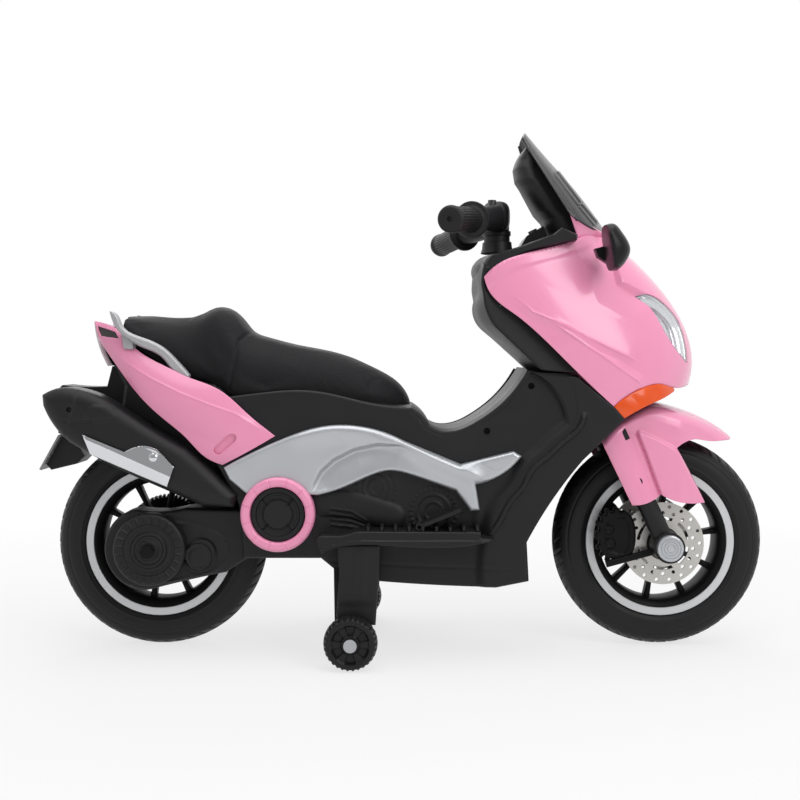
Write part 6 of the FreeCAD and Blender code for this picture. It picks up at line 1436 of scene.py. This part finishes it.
cushion = makePiece("seatCushion", seatPatch(), "embossedLeatherette", "frame",
                    ["seat_cushion"], sharp=180)


def coordinates(mesh):
    values = np.empty(len(mesh.vertices) * 3, np.float32)
    mesh.vertices.foreach_get("co", values)
    return values.reshape(-1, 3).astype(float)


def swell(thing):
    # Voxel remesh, a short cloth run under pressure with the base held, movement capped, result kept.
    scene = bpy.context.scene
    remesh = thing.modifiers.new("even", "REMESH")
    remesh.mode = "VOXEL"
    remesh.voxel_size = seat["voxel"] * 0.001
    even = bpy.data.meshes.new_from_object(thing.evaluated_get(bpy.context.evaluated_depsgraph_get()))
    thing.modifiers.clear()
    thing.data = even
    start = coordinates(even)
    share = np.linspace(0, 1, 200)
    base = np.stack([profileThrough(seat["u"], share), profileThrough(seat["bottom"], share)], -1)
    base = place(base, seat["baseRight"])
    low = np.interp(start[:, 0] * 1000, base[::-1, 0], base[::-1, 2])
    held = np.flatnonzero(start[:, 2] * 1000 < low + 6)
    group = thing.vertex_groups.new(name="base")
    group.add(held.tolist(), 1.0, "REPLACE")
    cloth = thing.modifiers.new("fill", "CLOTH")
    cloth.settings.use_pressure = True
    cloth.settings.uniform_pressure_force = seat["pressure"]
    cloth.settings.effector_weights.gravity = 0
    cloth.settings.vertex_group_mass = "base"
    cloth.settings.quality = 5
    cloth.point_cache.frame_start = 1
    cloth.point_cache.frame_end = seat["frames"]
    for number in range(1, seat["frames"] + 1):
        scene.frame_set(number)
    moved = coordinates(thing.evaluated_get(bpy.context.evaluated_depsgraph_get()).data)
    thing.modifiers.clear()
    scene.frame_set(1)
    way = moved - start
    length = np.maximum(np.linalg.norm(way, axis=1, keepdims=True), 1e-9)
    final = start + way * np.minimum(1, seat["cap"] * 0.001 / length)
    even.vertices.foreach_set("co", final.astype(np.float32).ravel())
    even.update()
    print("seat swollen by up to", round(float(np.minimum(length, seat["cap"] * 0.001).max()) * 1000, 1),
          "mm")


swell(cushion)
cushion.data.polygons.foreach_set("use_smooth", np.ones(len(cushion.data.polygons), bool))
finer = cushion.modifiers.new("finer", "SUBSURF")
finer.levels = finer.render_levels = 1
cushion.data = bpy.data.meshes.new_from_object(cushion.evaluated_get(bpy.context.evaluated_depsgraph_get()))
cushion.modifiers.clear()
points = coordinates(cushion.data)
normals = np.empty(len(points) * 3, np.float32)
cushion.data.vertices.foreach_get("normal", normals)
normals = normals.reshape(-1, 3)
scale = mmPerPixel * (1 - np.abs(points[:, 1]) * 1000 / sight["eyeDistance"])
seen = np.stack([(points[:, 0] * 1000 + originX) / scale + sight["eye"][0],
                 (eyeHeight - points[:, 2] * 1000) / scale + sight["eye"][1]], -1)
d, along = lineDistance(seen, seat["seam"])
press = np.exp(-(d * 1.42 / seat["seamHalf"]) ** 2) * (along < 0.999)
points -= normals * (press * seat["seamDepth"] * 0.001)[:, None]
cushion.data.vertices.foreach_set("co", points.astype(np.float32).ravel())
cushion.data.materials.clear()
cushion.data.materials.append(finish["embossedLeatherette"])
cushion.data.polygons.foreach_set("use_smooth", np.ones(len(cushion.data.polygons), bool))
cushion.data.update()
print("seat made")

# Camera at the side, level with the fairing
eye = bpy.data.cameras.new("eye")
eye.sensor_width = 36.0
eye.lens = 36.0 * sight["eyeDistance"] / (800 * mmPerPixel)
eye.shift_y = -(400 - sight["eye"][1]) / 800
camera = bpy.data.objects.new("eye", eye)
camera.location = (-originX * 0.001, -sight["eyeDistance"] * 0.001, eyeHeight * 0.001)
camera.rotation_euler = (math.pi / 2, 0, 0)
bpy.context.scene.collection.objects.link(camera)
bpy.context.scene.camera = camera

# Soft lamps, pale floor, white surroundings
lamps = {"over": ((0.1, -0.5, 2.2), (0, 0, 0.3), 2.2, 26.0),
         "front": ((1.5, -1.9, 1.5), (0.1, 0, 0.35), 1.1, 17.0),
         "behind": ((-0.6, 1.8, 1.6), (0, 0, 0.4), 1.4, 10.0)}  # place, target, size, power
for name, (where, target, size, power) in lamps.items():
    light = bpy.data.lights.new(name, "AREA")
    light.size = size
    light.energy = power
    lamp = bpy.data.objects.new(name, light)
    lamp.location = where
    aim = np.array(target) - np.array(where)
    tilt = math.atan2(math.hypot(aim[0], aim[1]), -aim[2])
    lamp.rotation_euler = (tilt, 0, math.atan2(aim[0], -aim[1]) + math.pi)
    bpy.context.scene.collection.objects.link(lamp)


def rayIs(tree, *kinds):  # 1 for a ray of any of these kinds
    path = add(tree, "ShaderNodeLightPath")
    level = path.outputs[kinds[0]]
    for kind in kinds[1:]:
        level = add(tree, "ShaderNodeMath", {0: level, 1: path.outputs[kind]},
                    operation="MAXIMUM").outputs[0]
    return level


world = bpy.data.worlds.new("studio")
bpy.context.scene.world = world
world.use_nodes = True
tree = world.node_tree
toward = add(tree, "ShaderNodeSeparateXYZ", {0: add(tree, "ShaderNodeTexCoord").outputs["Generated"]})
backdrop = add(tree, "ShaderNodeMapRange", {"Value": toward.outputs["Y"], "From Min": -0.95, "From Max": 0.0,
                                            # white behind, dimmer on the near side
                                            "To Min": 0.4, "To Max": 1.0})
shown = rayIs(tree, "Is Camera Ray", "Is Transmission Ray")
lit = add(tree, "ShaderNodeMix", {"Factor": rayIs(tree, "Is Glossy Ray"), "A": 0.5,
                                  "B": backdrop.outputs["Result"]})
level = add(tree, "ShaderNodeMath", {0: shown, 1: lit.outputs["Result"]}, operation="MAXIMUM")
tree.links.new(level.outputs[0], tree.nodes["Background"].inputs["Strength"])
tree.nodes["Background"].inputs["Color"].default_value = (1, 1, 1, 1)

floorMesh = bpy.data.meshes.new("floor")
floorCorners = [(x, y, -0.0005) for x, y in ((-12, -6), (12, -6), (12, 18), (-12, 18))]
floorMesh.from_pydata(floorCorners, [], [(0, 1, 2, 3)])
paleFloor = bpy.data.materials.new("paleFloor")
paleFloor.use_nodes = True
tree = paleFloor.node_tree
matt = tree.nodes["Principled BSDF"]
matt.inputs["Base Color"].default_value = linear("#E8E8E8")
matt.inputs["Roughness"].default_value = 0.9
glow = add(tree, "ShaderNodeEmission", {"Strength": 1.0})
away = add(tree, "ShaderNodeVectorMath", {0: add(tree, "ShaderNodeTexCoord").outputs["Object"]},
           operation="LENGTH")
fade = add(tree, "ShaderNodeMapRange", {"Value": away.outputs["Value"], "From Min": 0.5, "From Max": 1.6,
                                        "To Min": 0.72, "To Max": 1.0})  # the floor runs out into white
share = add(tree, "ShaderNodeMath", {0: rayIs(tree, "Is Camera Ray", "Is Glossy Ray", "Is Transmission Ray"),
                                      1: fade.outputs["Result"]}, operation="MULTIPLY")
mix = add(tree, "ShaderNodeMixShader", {0: share.outputs[0], 1: matt.outputs[0], 2: glow.outputs[0]})
tree.links.new(mix.outputs[0], tree.nodes["Material Output"].inputs["Surface"])
floorMesh.materials.append(paleFloor)
floor = bpy.data.objects.new("floor", floorMesh)
bpy.context.scene.collection.objects.link(floor)

bpy.context.scene.view_settings.view_transform = "Standard"
print("scene ready")
